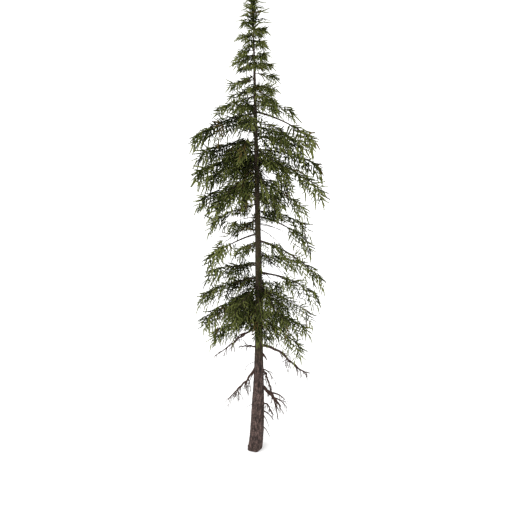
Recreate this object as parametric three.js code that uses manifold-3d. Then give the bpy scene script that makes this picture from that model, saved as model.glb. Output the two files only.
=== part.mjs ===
// A tall, narrow spruce: one tapering trunk, bare dead boughs low down, and drooping live boughs that
// carry flat sprays of needles up to the leader.
// Millimetres and degrees, +Z up. The origin is the middle of the flat cut at ground level.
// Bearings are seen from above: 0 along +X, 90 along +Y.
import * as THREE from "three";
import { mergeVertices } from "three/addons/utils/BufferGeometryUtils.js";
import Module from "manifold-3d";

const wasm = await Module();
wasm.setup();

// Trunk
const HEIGHT = 15000;
const TRUNK_TOP = 14350;
const TAPER_RADIUS = 180;
const TAPER_POWER = 0.9;
const TIP_RADIUS = 6;
const FLARE_RADIUS = 70;
const FLARE_HEIGHT = 2800;
const FLARE_POWER = 3;
const BUTTRESS_COUNT = 5;
const BUTTRESS_DEPTH = 0.07;
const BUTTRESS_HEIGHT = 900;
const TRUNK_SIDES = 14;
const TRUNK_STEPS = 20;
const TRUNK_STEP_POWER = 1.3;
const BOW = 165;
const BOW_POWER = 0.6;
const LEAN = -35;

// First seeds of the live and the dead boughs, and how far a root may stray from its even spacing
const LIVE_SEED = 100;
const DEAD_SEED = 900;
const STAGGER = 0.5;

// Clearances between neighbouring pieces, and the distance under which two corners are one
const SEAT_GAP = 0.3;
const CLEARANCE = 4;
const ROOT_ZONE = 140;
const WELD = 1e-3;
const FINE_WELD = 0.05;

// Live limbs
const ROOT_RADIUS_BASE = 7;
const ROOT_RADIUS_PER_REACH = 0.009;
const ROOT_TO_TRUNK = 0.6;
const TIP_TO_ROOT_RADIUS = 0.25;
const LIMB_SIDES = 6;
const LIMB_STEPS = 5;
const STRAIGHT_MOST = 0.6;
const SWAY_MOST = 0.06;

// Foliage: a fringe of lances that hangs along each bough, and flat sprays at the bough's sides
const LANCE_HALF_THICKNESS = 5;
const LANCE_TIP_AHEAD = 0.5;
const RIB_NARROWING = 0.75;
const FRINGE_START = 60;
const FRINGE_STEP = 230;
const FRINGE_FEWEST = 4;
const FRINGE_MOST = 7;
const FRINGE_LANCE = 0.45;
const FRINGE_BAND = 0.6;
const FRINGE_LANCE_LEAST = 400;
const FRINGE_LANCE_MOST = 620;
const FRINGE_ANGLE = 55;
const FRINGE_NARROWING = 0.75;
const FRINGE_RUFFLE = 0.25;
const FRINGE_RUFFLE_STEPS = 2.3;
const SPRAY_PAIRS = 2;
const SPRAY_RIB = 9;
const SPRAY_LANCE = 0.55;
const SPRAY_LANCE_ANGLE = 42;
const SPRAY_LANCE_NARROWING = 0.4;
const SPRAY_FOLD = 0.6;
const SPRAY_SHARE = 0.55;
const SPRAY_NARROWING = 0.4;
const SPRAY_LEAST = 420;
const SPRAY_ANGLE = 68;
const SPRAY_AHEAD = [0.5, 0.85];
const SPRAY_LIFT = 0.1;
const SPRAY_DROOP = 0.7;
const SPRAY_SINK = 5;
const SPRAY_LAST = 0.75;
const SPRAY_SPACING = 600;
const SPRAY_FEWEST = 3;
const SPRAY_SIZES = [0.85, 1.1];
const SCALES = [1, 0.85, 0.7, 0.55, 0.4];

// The leader above the trunk's tip
const LEADER_SPRAYS = 10;
const LEADER_SPRAY_LENGTH = 380;
const LEADER_TURN = 137.5;
const LEADER_RISE = 0.55;
const LEADER_NARROWING = 0.6;

// Live boughs from the top down: height of the root, bearing, reach from the trunk's axis, rise of
// the tip above the root, and the share of the reach that is a bare limb.
const LIVE_BOUGHS = [
  [14270, 150, 400, -20, 0],
  [14110, -20, 420, 10, 0],
  [13930, 205, 480, 20, 0],
  [13680, 50, 540, 0, 0],
  [13480, -30, 450, -20, 0],
  [13400, 142, 660, -80, 0],
  [13340, 225, 740, -60, 0],
  [12930, -5, 700, -110, 0],
  [12740, 196, 780, -120, 0],
  [12560, 56, 1000, -160, 0],
  [12440, 308, 920, -200, 0],
  [12290, 186, 1100, -370, 0],
  [12160, -16, 1240, -300, 0],
  [11850, -24, 1850, -680, 0.55],
  [11790, 195, 1840, -550, 0],
  [11420, -32, 1600, -420, 0],
  [11120, 50, 1650, -500, 0],
  [10960, 168, 1740, -430, 0],
  [10740, 8, 2060, -660, 0],
  [10700, 196, 1900, -520, 0],
  [10460, 108, 1850, -650, 0],
  [10390, -22, 2130, -760, 0],
  [10360, 172, 1600, -620, 0],
  [10060, 232, 1850, -600, 0],
  [9780, -20, 1650, -750, 0],
  [9760, 180, 1800, -560, 0],
  [9260, 65, 1750, -560, 0],
  [9060, 190, 1550, -560, 0],
  [8840, 18, 1700, -700, 0],
  [8660, -12, 1750, -850, 0.5],
  [8600, 224, 1750, -560, 0],
  [8100, 196, 1650, -660, 0.65],
  [7870, -17, 2180, -1180, 0.4],
  [7300, 40, 1700, -650, 0],
  [7020, 150, 1950, -640, 0],
  [6760, -2, 2020, -900, 0.4],
  [6600, 176, 1980, -760, 0],
  [6360, 238, 1800, -620, 0],
  [6330, 84, 1850, -750, 0],
  [6230, -58, 1750, -600, 0],
  [6180, -8, 1780, -800, 0],
  [6050, 192, 1860, -770, 0],
  [5500, 125, 1750, -620, 0],
  [5330, 14, 1720, -740, 0],
  [5180, -35, 1700, -700, 0],
  [5140, 172, 1600, -680, 0],
];

// Dead boughs from the top down: height of the root, bearing, reach, rise of the tip, power of the bend
// (1 is straight, more bends late), ease of the bend (1 runs level again at the tip), radius at the root
// and number of twigs.
const DEAD_BOUGHS = [
  [5000, 186, 1460, -1170, 1, 0, 30, 5],
  [4150, 4, 1720, -1150, 1.2, 1, 42, 8],
  [4120, 172, 660, -70, 1, 0, 28, 3],
  [3500, 184, 1050, -1420, 0.8, 0, 36, 8],
  [3340, -14, 440, -940, 1.9, 0, 38, 5],
  [2600, -6, 760, -800, 1.55, 0, 60, 8],
  [2040, -12, 530, -560, 2.1, 0, 28, 5],
];

// Forks of the dead boughs: number of the bough, share of its length at the root, and how far the fork
// runs outwards, sideways and up.
const DEAD_FORKS = [
  [1, 0.3, 460, -60, -560],
  [2, 0.42, 240, 60, -300],
  [2, 0.55, -60, 60, -340],
  [2, 0.75, 150, -60, -330],
  [3, 0.4, 230, 40, 230],
  [4, 0.36, 60, 70, -420],
  [4, 0.36, -110, -60, -560],
  [4, 0.7, -60, 50, -380],
  [4, 0.7, 60, -60, -300],
  [5, 0.3, 330, 60, -350],
  [6, 0.5, 520, 80, -300],
  [6, 0.7, 460, -90, -330],
  [6, 0.4, 380, -50, -1120],
  [7, 0.5, 140, 60, -260],
];
const DEAD_SIDES = 4;
const DEAD_STEPS = 6;
const DEAD_CROOKS = 5;
const DEAD_CROOK_SHARE = 0.025;
const DEAD_FORK_BEND = 0.6;
const DEAD_FORK_RADIUS = 0.62;
const DEAD_FORK_END_RADIUS = 0.15;
const DEAD_FORK_STEPS = 3;
const DEAD_END_RADIUS = 0.2;
const DEAD_TWIG_FIRST = 0.3;
const DEAD_TWIG_LAST = 0.95;
const DEAD_TWIG_SHARE = 0.36;
const DEAD_TWIG_SIZES = [0.6, 1.1];
const DEAD_TWIG_SPREADS = [0.3, 1];
const DEAD_TWIG_AHEAD = [0.35, 0.55];
const DEAD_TWIG_ASIDE = [0.3, 0.55];
const DEAD_TWIG_DROP = 0.5;
const DEAD_TWIG_LEAST = 180;
const DEAD_TWIG_MOST = 480;
const DEAD_TWIG_RADIUS = 0.45;
const DEAD_TWIG_SIDES = 3;
const DEAD_TWIG_STEPS = 2;
const DEAD_TWIG_TIP_RADIUS = 1.5;

const UP = new THREE.Vector3(0, 0, 1);
const BARK = new THREE.MeshStandardMaterial({ color: 0x5c4c46, roughness: 0.95, metalness: 0 });
const DEAD_BARK = new THREE.MeshStandardMaterial({ color: 0x4a3d36, roughness: 0.95, metalness: 0 });
const NEEDLES = new THREE.MeshStandardMaterial({ color: 0x33421b, roughness: 0.8, metalness: 0 });

// A seeded generator of numbers from 0 to 1.
function seeded(seed) {
  let state = seed >>> 0;
  return () => {
    state = (state + 0x6d2b79f5) >>> 0;
    let t = Math.imul(state ^ (state >>> 15), state | 1);
    t ^= t + Math.imul(t ^ (t >>> 7), t | 61);
    return ((t ^ (t >>> 14)) >>> 0) / 4294967296;
  };
}

const between = (low, high, share) => low + (high - low) * share;

// A closed geometry as a solid, and a solid as a geometry.
function solidOf(geometry) {
  const bare = geometry.clone();
  bare.deleteAttribute("normal");
  bare.deleteAttribute("uv");
  const merged = mergeVertices(bare, WELD);
  const vertProperties = merged.attributes.position.array;
  const triVerts = new Uint32Array(merged.index.array);
  return new wasm.Manifold(new wasm.Mesh({ numProp: 3, vertProperties, triVerts }));
}

function geometryOf(solid) {
  const mesh = solid.getMesh();
  const geometry = new THREE.BufferGeometry();
  geometry.setAttribute("position", new THREE.BufferAttribute(mesh.vertProperties, 3));
  geometry.setIndex(new THREE.BufferAttribute(mesh.triVerts, 1));
  const welded = mergeVertices(geometry, FINE_WELD);
  const corners = [];
  for (let i = 0; i < welded.index.count; i += 3) {
    const [a, b, c] = [0, 1, 2].map((k) => welded.index.getX(i + k));
    if (a !== b && b !== c && c !== a) corners.push(a, b, c);
  }
  const faceted = welded.setIndex(corners).toNonIndexed();
  faceted.computeVertexNormals();
  return faceted;
}

// Pieces fused into one body, without the hollows that fusing may close or loose scraps.
function fused(pieces) {
  const bodies = wasm.Manifold.union(pieces).decompose();
  return bodies.reduce((largest, body) => (body.volume() > largest.volume() ? body : largest));
}

// The trunk's axis bows a little to one side on its way up.
function trunkAxis(z) {
  const t = z / HEIGHT;
  return new THREE.Vector3(BOW * Math.sin(Math.PI * t ** BOW_POWER) + LEAN * t, 0, z);
}

function trunkRadius(z) {
  const taper = TAPER_RADIUS * (1 - z / HEIGHT) ** TAPER_POWER;
  const flare = FLARE_RADIUS * Math.exp(-((z / FLARE_HEIGHT) ** FLARE_POWER));
  return TIP_RADIUS + taper + flare;
}

// A round column along the trunk's axis with low buttresses at its foot, made wider by a margin.
function trunkGeometry(margin) {
  const column = new THREE.CylinderGeometry(1, 1, 1, TRUNK_SIDES, TRUNK_STEPS);
  column.rotateX(Math.PI / 2);
  const place = column.attributes.position;
  for (let i = 0; i < place.count; i++) {
    const [x, y] = [place.getX(i), place.getY(i)];
    const z = TRUNK_TOP * (place.getZ(i) + 0.5) ** TRUNK_STEP_POWER;
    const lobe = Math.cos(BUTTRESS_COUNT * Math.atan2(y, x)) * Math.exp(-z / BUTTRESS_HEIGHT);
    const radius = trunkRadius(z) * (1 + BUTTRESS_DEPTH * lobe) + margin;
    const axis = trunkAxis(z);
    place.setXYZ(i, axis.x + x * radius, axis.y + y * radius, z);
  }
  return column;
}

// The line of a bough: it leaves the trunk's axis along +X and bends down (or up) towards its tip.
class BoughLine extends THREE.Curve {
  constructor(reach, rise, straight, sway) {
    super();
    Object.assign(this, { reach, rise, straight, sway });
  }

  getPoint(t, target = new THREE.Vector3()) {
    const bend = between(t * t, t, this.straight);
    return target.set(this.reach * t, this.sway * Math.sin(Math.PI * t), this.rise * bend);
  }
}

// Bends a geometry that runs along +X, with its width in Y and its thickness in Z, along a line.
function bendAlong(line, geometry, upward) {
  const length = line.getLength();
  const place = geometry.attributes.position;
  const across = new THREE.Vector3();
  const over = new THREE.Vector3();
  for (let i = 0; i < place.count; i++) {
    const u = THREE.MathUtils.clamp(place.getX(i) / length, 0, 1);
    const point = line.getPointAt(u);
    const along = line.getTangentAt(u);
    across.crossVectors(upward, along).normalize();
    over.crossVectors(along, across);
    point.addScaledVector(across, place.getY(i)).addScaledVector(over, place.getZ(i));
    place.setXYZ(i, point.x, point.y, point.z);
  }
  return geometry;
}

// A tapering limb along a line, between two distances from the line's start.
function limbSolid(line, from, to, radii, sides, steps, upward = UP) {
  const tube = new THREE.CylinderGeometry(radii[1], radii[0], to - from, sides, steps);
  tube.rotateZ(-Math.PI / 2);
  tube.translate((from + to) / 2, 0, 0);
  return solidOf(bendAlong(line, tube, upward));
}

const ribAt = (rib, t) => rib * (1 - RIB_NARROWING * t);

// A thin blade with a rib along +X that narrows to its end and lances that stand out of it. It is given
// by corners in X and Y, faces between them and the corners in order round its edge. The blade is folded,
// bent along a line and then made thick on both sides.
function bladeSolid({ corners, faces, edge }, rib, length, fold, line, upward) {
  const middle = new THREE.BufferGeometry();
  middle.setFromPoints(corners.map(([x, y]) => new THREE.Vector3(...fold(x, y)))).setIndex(faces.flat());
  bendAlong(line, middle, upward);
  middle.computeVertexNormals();
  const halves = corners.map(([x, y]) => {
    const ribHalf = Math.max(LANCE_HALF_THICKNESS, ribAt(rib, x / length));
    return Math.abs(y) > rib ? LANCE_HALF_THICKNESS : ribHalf;
  });
  const skins = [];
  for (const side of [1, -1]) {
    halves.forEach((half, i) => {
      const corner = new THREE.Vector3().fromBufferAttribute(middle.attributes.position, i);
      const normal = new THREE.Vector3().fromBufferAttribute(middle.attributes.normal, i);
      skins.push(corner.addScaledVector(normal, side * half));
    });
  }
  const under = (i) => i + corners.length;
  const skinFaces = faces.flatMap(([a, b, c]) => [a, b, c, under(c), under(b), under(a)]);
  edge.forEach((i, k) => {
    const j = edge[(k + 1) % edge.length];
    skinFaces.push(under(i), under(j), j, under(i), j, i);
  });
  return solidOf(new THREE.BufferGeometry().setFromPoints(skins).setIndex(skinFaces));
}

// A fringe along a line: a row of lances that hang from the rib and are ruffled to both sides.
function fringeSolid(line, from, first, teeth, rib, lance) {
  const angle = THREE.MathUtils.degToRad(FRINGE_ANGLE);
  const lastLance = lance * (1 - (FRINGE_NARROWING * (teeth - 1)) / teeth) * Math.cos(angle);
  const step = (line.getLength() - lastLance - first) / (teeth - 1 + LANCE_TIP_AHEAD);
  const length = first + teeth * step - from;
  const corners = [];
  const corner = (x, y) => corners.push([x, y]) - 1;
  const upper = [corner(0, rib)];
  const lower = [corner(0, -rib)];
  const tips = [];
  for (let i = 0; i < teeth; i++) {
    const size = lance * (1 - (FRINGE_NARROWING * i) / teeth);
    const start = first - from + i * step;
    const width = ribAt(rib, start / length);
    const ahead = LANCE_TIP_AHEAD * step + size * Math.cos(angle);
    upper.push(corner(start, width));
    lower.push(corner(start, -width - FRINGE_BAND * size));
    tips.push(corner(start + ahead, -rib - size * Math.sin(angle)));
  }
  const end = corner(length, 0);
  const faces = [];
  for (let i = 0; i < teeth; i++) {
    faces.push([lower[i], lower[i + 1], upper[i + 1]], [lower[i], upper[i + 1], upper[i]]);
    faces.push([lower[i + 1], tips[i], lower[i + 2] ?? end]);
  }
  faces.push([lower[teeth], end, upper[teeth]]);
  const hanging = lower.slice(1).flatMap((low, i) => [low, tips[i]]);
  const edge = [lower[0], ...hanging, end, ...upper.reverse()];
  const ruffled = (x, y) => {
    const swing = Math.sin((2 * Math.PI * x) / (FRINGE_RUFFLE_STEPS * step));
    return [from + x, FRINGE_RUFFLE * Math.max(0, -y - rib) * swing, y];
  };
  return bladeSolid({ corners, faces, edge }, rib, length, ruffled, line, UP);
}

// A spray along a line: pairs of lances on a rib, folded so that the lances hang below it.
function spraySolid(line, length, upward = UP) {
  const step = length / (SPRAY_PAIRS + 1);
  const angle = THREE.MathUtils.degToRad(SPRAY_LANCE_ANGLE);
  const corners = [];
  const corner = (x, y) => corners.push([x, y]) - 1;
  const [left, leftTips, right, rightTips] = [[], [], [], []];
  for (let i = 0; i <= SPRAY_PAIRS; i++) {
    const width = ribAt(SPRAY_RIB, (i * step) / length);
    left.push(corner(i * step, width));
    right.push(corner(i * step, -width));
    if (i === SPRAY_PAIRS) break;
    const size = SPRAY_LANCE * length * (1 - (SPRAY_LANCE_NARROWING * i) / SPRAY_PAIRS);
    const ahead = i * step + LANCE_TIP_AHEAD * step + size * Math.cos(angle);
    leftTips.push(corner(ahead, SPRAY_RIB + size * Math.sin(angle)));
    rightTips.push(corner(ahead, -SPRAY_RIB - size * Math.sin(angle)));
  }
  const end = corner(length, 0);
  const faces = [[right[SPRAY_PAIRS], end, left[SPRAY_PAIRS]]];
  for (let i = 0; i < SPRAY_PAIRS; i++) {
    faces.push([right[i], right[i + 1], left[i + 1]], [right[i], left[i + 1], left[i]]);
    faces.push([left[i], left[i + 1], leftTips[i]], [right[i], rightTips[i], right[i + 1]]);
  }
  const rightEdge = right.flatMap((base, i) => (i < SPRAY_PAIRS ? [base, rightTips[i]] : [base]));
  const leftEdge = left.flatMap((base, i) => (i < SPRAY_PAIRS ? [base, leftTips[i]] : [base]));
  const edge = [...rightEdge, end, ...leftEdge.reverse()];
  const folded = (x, y) => [x, y, -SPRAY_FOLD * Math.max(0, Math.abs(y) - SPRAY_RIB)];
  return bladeSolid({ corners, faces, edge }, SPRAY_RIB, length, folded, line, upward);
}

// Solids already in their places, each with its box and the bough it belongs to.
const placed = [];

function boxOf(solid) {
  const { min, max } = solid.boundingBox();
  return new THREE.Box3(new THREE.Vector3(...min), new THREE.Vector3(...max));
}

function settle(solid, owner, kind) {
  placed.push({ solid, owner, kind, box: boxOf(solid).expandByScalar(CLEARANCE) });
}

// A piece has room where it keeps clear of all that doesn't bear it, and meets what does at its root.
function hasRoom(solid, bearers) {
  const box = boxOf(solid);
  return placed.every((other) => {
    if (!other.box.intersectsBox(box)) return true;
    const bears = bearers.includes(other.owner) && other.kind !== "spray";
    if (bears) return boxOf(solid.intersect(other.solid)).getSize(new THREE.Vector3()).length() < ROOT_ZONE;
    return solid.minGap(other.solid, CLEARANCE) >= CLEARANCE;
  });
}

const tree = new THREE.Group();
tree.name = "spruce";

function addMesh(name, solid, material, parent) {
  const mesh = new THREE.Mesh(geometryOf(solid), material);
  mesh.name = name;
  parent.add(mesh);
}

// Trunk, and the slightly wider trunk that the roots of the boughs are cut back to.
const trunk = solidOf(trunkGeometry(0));
const trunkSeat = solidOf(trunkGeometry(SEAT_GAP));
addMesh("trunk", trunk, BARK, tree);
settle(trunk, "trunk", "limb");

// A bough's own frame: its origin is on the trunk's axis and +X points outwards.
function boughFrame(height, bearing) {
  const frame = new THREE.Group();
  frame.position.copy(trunkAxis(height));
  frame.rotation.z = THREE.MathUtils.degToRad(bearing);
  frame.updateMatrixWorld();
  tree.add(frame);
  return frame;
}

const inWorld = (solid, frame) => solid.transform(frame.matrixWorld.elements);
const cutToTrunk = (solid, frame) =>
  solid.subtract(trunkSeat.transform(frame.matrixWorld.clone().invert().elements));

function sideOf(bearing) {
  const sides = ["right", "back", "left", "front"];
  return sides[Math.round((((bearing % 360) + 360) % 360) / 90) % sides.length];
}

const numbered = (i) => String(i + 1).padStart(2, "0");

// Dead boughs: crooked bare limbs, some forked, with thin twigs that stand off and hang.
DEAD_BOUGHS.forEach(([height, bearing, reach, rise, power, ease, radius, twigs], index) => {
  const owner = `dead_bough_${numbered(index)}_${sideOf(bearing)}`;
  const frame = boughFrame(height, bearing);
  const random = seeded(DEAD_SEED + index);
  const corners = [new THREE.Vector3()];
  for (let i = 1; i <= DEAD_CROOKS; i++) {
    const t = i / DEAD_CROOKS;
    const crook = i < DEAD_CROOKS ? DEAD_CROOK_SHARE * reach : 0;
    const side = between(-crook, crook, random());
    const lift = between(-crook, crook, random());
    const bend = between(t ** power, THREE.MathUtils.smoothstep(t ** power, 0, 1), ease);
    corners.push(new THREE.Vector3(reach * t, side, rise * bend + lift));
  }
  const line = new THREE.CatmullRomCurve3(corners);
  const length = line.getLength();
  const radii = [radius, radius * DEAD_END_RADIUS];
  const pieces = [limbSolid(line, 0, length, radii, DEAD_SIDES, DEAD_STEPS)];
  for (const [number, share, out, aside, up] of DEAD_FORKS) {
    if (number !== index + 1) continue;
    const root = line.getPointAt(share);
    const middle = new THREE.Vector3(out, aside, 0).multiplyScalar(DEAD_FORK_BEND).add(root);
    const end = new THREE.Vector3(out, aside, up).add(root);
    const forkLine = new THREE.QuadraticBezierCurve3(root, middle, end);
    const forkRadius = DEAD_FORK_RADIUS * between(...radii, share);
    const forkRadii = [forkRadius, DEAD_FORK_END_RADIUS * forkRadius];
    const fork = limbSolid(forkLine, 0, forkLine.getLength(), forkRadii, DEAD_SIDES, DEAD_FORK_STEPS);
    if (hasRoom(inWorld(fork, frame), [])) pieces.push(fork);
  }
  for (let i = 0; i < twigs; i++) {
    const wantedShare = between(DEAD_TWIG_FIRST, DEAD_TWIG_LAST, (i + STAGGER * random()) / twigs);
    const u = Math.round(wantedShare * DEAD_STEPS) / DEAD_STEPS;
    const root = line.getPointAt(u);
    const along = line.getTangentAt(u);
    const side = new THREE.Vector3().crossVectors(UP, along).multiplyScalar(i % 2 ? 1 : -1);
    const spread = between(...DEAD_TWIG_SPREADS, random());
    const wanted = DEAD_TWIG_SHARE * length * between(...DEAD_TWIG_SIZES, random());
    const twigLength = THREE.MathUtils.clamp(wanted, DEAD_TWIG_LEAST, DEAD_TWIG_MOST);
    const [middle, end] = [root.clone(), root.clone()];
    middle.addScaledVector(along, DEAD_TWIG_AHEAD[0] * twigLength);
    middle.addScaledVector(side, DEAD_TWIG_ASIDE[0] * spread * twigLength);
    end.addScaledVector(along, DEAD_TWIG_AHEAD[1] * twigLength);
    end.addScaledVector(side, DEAD_TWIG_ASIDE[1] * spread * twigLength);
    end.addScaledVector(UP, -DEAD_TWIG_DROP * twigLength);
    const twigLine = new THREE.QuadraticBezierCurve3(root, middle, end);
    const thick = DEAD_TWIG_RADIUS * between(...radii, u);
    const twigRadii = [Math.max(thick, 2 * DEAD_TWIG_TIP_RADIUS), DEAD_TWIG_TIP_RADIUS];
    const twig = limbSolid(twigLine, 0, twigLine.getLength(), twigRadii, DEAD_TWIG_SIDES, DEAD_TWIG_STEPS);
    if (hasRoom(inWorld(twig, frame), [])) pieces.push(twig);
  }
  const solid = cutToTrunk(fused(pieces), frame);
  addMesh(owner, solid, DEAD_BARK, frame);
  settle(inWorld(solid, frame), owner, "limb");
});

// Live boughs: each line first carries a bare limb, where it has one, and then its foliage.
const boughs = LIVE_BOUGHS.map(([height, bearing, reach, rise, bare], index) => {
  const owner = `${numbered(index)}_${sideOf(bearing)}`;
  const frame = boughFrame(height, bearing);
  const random = seeded(LIVE_SEED + index);
  const straight = STRAIGHT_MOST * random();
  const sway = SWAY_MOST * reach * (2 * random() - 1);
  const line = new BoughLine(reach, rise, straight, sway);
  const length = line.getLength();
  const wanted = ROOT_RADIUS_BASE + ROOT_RADIUS_PER_REACH * reach;
  const rootRadius = Math.min(wanted, ROOT_TO_TRUNK * trunkRadius(height));
  const tipRadius = rootRadius * between(1, TIP_TO_ROOT_RADIUS, bare);
  if (bare > 0) {
    const radii = [rootRadius, tipRadius];
    const limb = limbSolid(line, 0, bare * length, radii, LIMB_SIDES, LIMB_STEPS);
    const seated = cutToTrunk(limb, frame);
    addMesh(`bough_${owner}`, seated, BARK, frame);
    settle(inWorld(seated, frame), owner, "limb");
  }
  const start = bare * length;
  const first = FRINGE_START + Math.max(start, trunkRadius(height));
  const rib = tipRadius * Math.SQRT1_2;
  return { owner, frame, random, line, length, reach, bare, start, first, rib, pieces: [] };
});

// Adds the largest of a few sizes of a piece of foliage that has room among its neighbours.
function addLargest(bough, kind, bearers, solidAtScale) {
  for (const scale of SCALES) {
    const solid = solidAtScale(scale);
    const there = inWorld(solid, bough.frame);
    if (hasRoom(there, bearers)) {
      bough.pieces.push(solid);
      settle(there, bough.owner, kind);
      return;
    }
  }
}

// The fringe runs along the bough to its tip; without a bare limb its rib starts at the trunk. The
// lowest boughs come first, and the lances of each bough above are kept clear of those below.
[...boughs].reverse().forEach((bough) => {
  const { line, length, reach, bare, start, first, rib, frame } = bough;
  const { clamp } = THREE.MathUtils;
  const teeth = clamp(Math.round((length - first) / FRINGE_STEP), FRINGE_FEWEST, FRINGE_MOST);
  const lance = clamp(FRINGE_LANCE * reach, FRINGE_LANCE_LEAST, FRINGE_LANCE_MOST);
  addLargest(bough, "fringe", [bough.owner, "trunk"], (scale) => {
    const fringe = fringeSolid(line, start, first, teeth, rib, scale * lance);
    if (bare === 0) return cutToTrunk(fringe, frame);
    const ahead = line.getTangentAt(bare);
    return fringe.trimByPlane(ahead.toArray(), ahead.dot(line.getPointAt(bare)) + SEAT_GAP);
  });
});

// A side spray springs from the bough, forwards and sideways, and droops.
function sideSpray(bough, along, side, size) {
  const u = along / bough.length;
  const root = bough.line.getPointAt(u);
  const ahead = bough.line.getTangentAt(u);
  const across = new THREE.Vector3().crossVectors(UP, ahead).multiplyScalar(side);
  const angle = THREE.MathUtils.degToRad(SPRAY_ANGLE);
  const heading = ahead.multiplyScalar(Math.cos(angle)).addScaledVector(across, Math.sin(angle));
  root.addScaledVector(heading, -SPRAY_SINK);
  const [middle, end] = [root.clone(), root.clone()];
  middle.addScaledVector(heading, SPRAY_AHEAD[0] * size).addScaledVector(UP, SPRAY_LIFT * size);
  end.addScaledVector(heading, SPRAY_AHEAD[1] * size).addScaledVector(UP, -SPRAY_DROOP * size);
  const line = new THREE.QuadraticBezierCurve3(root, middle, end);
  return spraySolid(line, line.getLength());
}

boughs.forEach((bough) => {
  const { random, reach, first, length } = bough;
  const last = SPRAY_LAST * length;
  const count = Math.max(SPRAY_FEWEST, Math.round((2 * (last - first)) / SPRAY_SPACING));
  for (let i = 0; i < count; i++) {
    const share = (i + STAGGER * random()) / count;
    const wanted = SPRAY_SHARE * reach * (1 - SPRAY_NARROWING * share);
    const size = Math.max(SPRAY_LEAST, wanted * between(...SPRAY_SIZES, random()));
    const along = between(first, last, share);
    const side = i % 2 ? 1 : -1;
    addLargest(bough, "spray", [bough.owner], (scale) => sideSpray(bough, along, side, scale * size));
  }
});

boughs.forEach((bough) => {
  addMesh(`foliage_${bough.owner}`, fused(bough.pieces), NEEDLES, bough.frame);
});

// The leader: an upright shoot on the trunk's tip with short rising sprays round it.
const leaderFrame = boughFrame(TRUNK_TOP + SEAT_GAP, 0);
const leaderHeight = HEIGHT - TRUNK_TOP - SEAT_GAP;
const leaderLine = new THREE.LineCurve3(new THREE.Vector3(), new THREE.Vector3(0, 0, leaderHeight));
const leaderRadii = [trunkRadius(TRUNK_TOP), 0];
const outward = new THREE.Vector3(1, 0, 0);
const leaderStem = limbSolid(leaderLine, 0, leaderHeight, leaderRadii, LIMB_SIDES, 1, outward);
const leader = { owner: "leader", frame: leaderFrame, pieces: [leaderStem] };
for (let i = 0; i < LEADER_SPRAYS; i++) {
  const turn = THREE.MathUtils.degToRad(LEADER_TURN * i);
  const t = (i + 0.5) / (LEADER_SPRAYS + 1);
  const root = new THREE.Vector3(0, 0, t * leaderHeight);
  const heading = new THREE.Vector3(Math.cos(turn), Math.sin(turn), LEADER_RISE);
  const end = root.clone().addScaledVector(heading, LEADER_SPRAY_LENGTH * (1 - LEADER_NARROWING * t));
  const line = new THREE.LineCurve3(root, end);
  addLargest(leader, "spray", ["leader"], (scale) => spraySolid(line, scale * line.getLength()));
}
addMesh("foliage_leader", fused(leader.pieces), NEEDLES, leaderFrame);

export default tree;
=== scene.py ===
# %% [markdown]
# # A tall, narrow spruce with dead lower limbs
# The tree stands on a long bare foot with crooked dead limbs. Above them hang the live boughs, thick with
# needle sprays, up to a pointed leader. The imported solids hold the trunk, the limbs and a plain solid for
# each mass of foliage. They are loaded first, because every new piece is grown in their places.

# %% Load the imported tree
import math

import bpy
import numpy as np
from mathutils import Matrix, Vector


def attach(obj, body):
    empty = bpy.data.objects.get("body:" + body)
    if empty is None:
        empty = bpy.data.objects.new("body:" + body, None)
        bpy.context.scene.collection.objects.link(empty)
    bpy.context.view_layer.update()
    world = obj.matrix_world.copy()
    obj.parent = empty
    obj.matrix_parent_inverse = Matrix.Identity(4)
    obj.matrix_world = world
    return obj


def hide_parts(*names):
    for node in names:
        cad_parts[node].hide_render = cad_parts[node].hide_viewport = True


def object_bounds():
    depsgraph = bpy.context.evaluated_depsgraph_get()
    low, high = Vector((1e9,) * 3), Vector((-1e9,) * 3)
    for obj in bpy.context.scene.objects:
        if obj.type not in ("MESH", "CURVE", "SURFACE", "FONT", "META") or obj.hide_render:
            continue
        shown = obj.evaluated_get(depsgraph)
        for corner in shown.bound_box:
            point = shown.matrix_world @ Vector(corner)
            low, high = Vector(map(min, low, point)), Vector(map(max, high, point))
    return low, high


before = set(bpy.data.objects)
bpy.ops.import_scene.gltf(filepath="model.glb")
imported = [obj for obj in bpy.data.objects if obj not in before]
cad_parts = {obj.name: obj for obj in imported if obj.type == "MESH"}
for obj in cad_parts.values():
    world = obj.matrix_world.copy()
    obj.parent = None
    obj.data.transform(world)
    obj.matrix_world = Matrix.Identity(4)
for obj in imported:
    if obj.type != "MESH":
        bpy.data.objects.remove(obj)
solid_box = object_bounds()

LOW, HIGH = (np.array(corner) for corner in solid_box)
print("solids", len(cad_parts), "from", LOW.round(2), "to", HIGH.round(2))

# %% [markdown]
# ## Camera
# The tree is seen from well above its middle: the ground shows all round the foot, and the boughs show their
# upper sides. A lens of about 50 mm at some 22 m gives the same slight convergence.

# %% Camera
CAMERA_PLACE = Vector((0.0566, -20.13, 15.98))
CAMERA_TARGET = Vector((0.0566, 0.0, 7.35))
CAMERA_LENS = 49.43
CAMERA_FAR = 300

bpy.ops.object.select_all(action="DESELECT")
bpy.ops.object.camera_add(location=CAMERA_PLACE)
camera = bpy.context.object
camera.rotation_euler = (CAMERA_TARGET - CAMERA_PLACE).to_track_quat("-Z", "Y").to_euler()
camera.data.lens = CAMERA_LENS
camera.data.clip_end = CAMERA_FAR
bpy.context.scene.camera = camera
print("camera", tuple(round(v, 2) for v in CAMERA_PLACE))

# %% [markdown]
# ## Floor and light
# A pale floor under a white sky gives soft light from all sides. One broad sun from the upper left front
# makes the left of the trunk lighter than its right, and a wide angle keeps its shadows soft.

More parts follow.
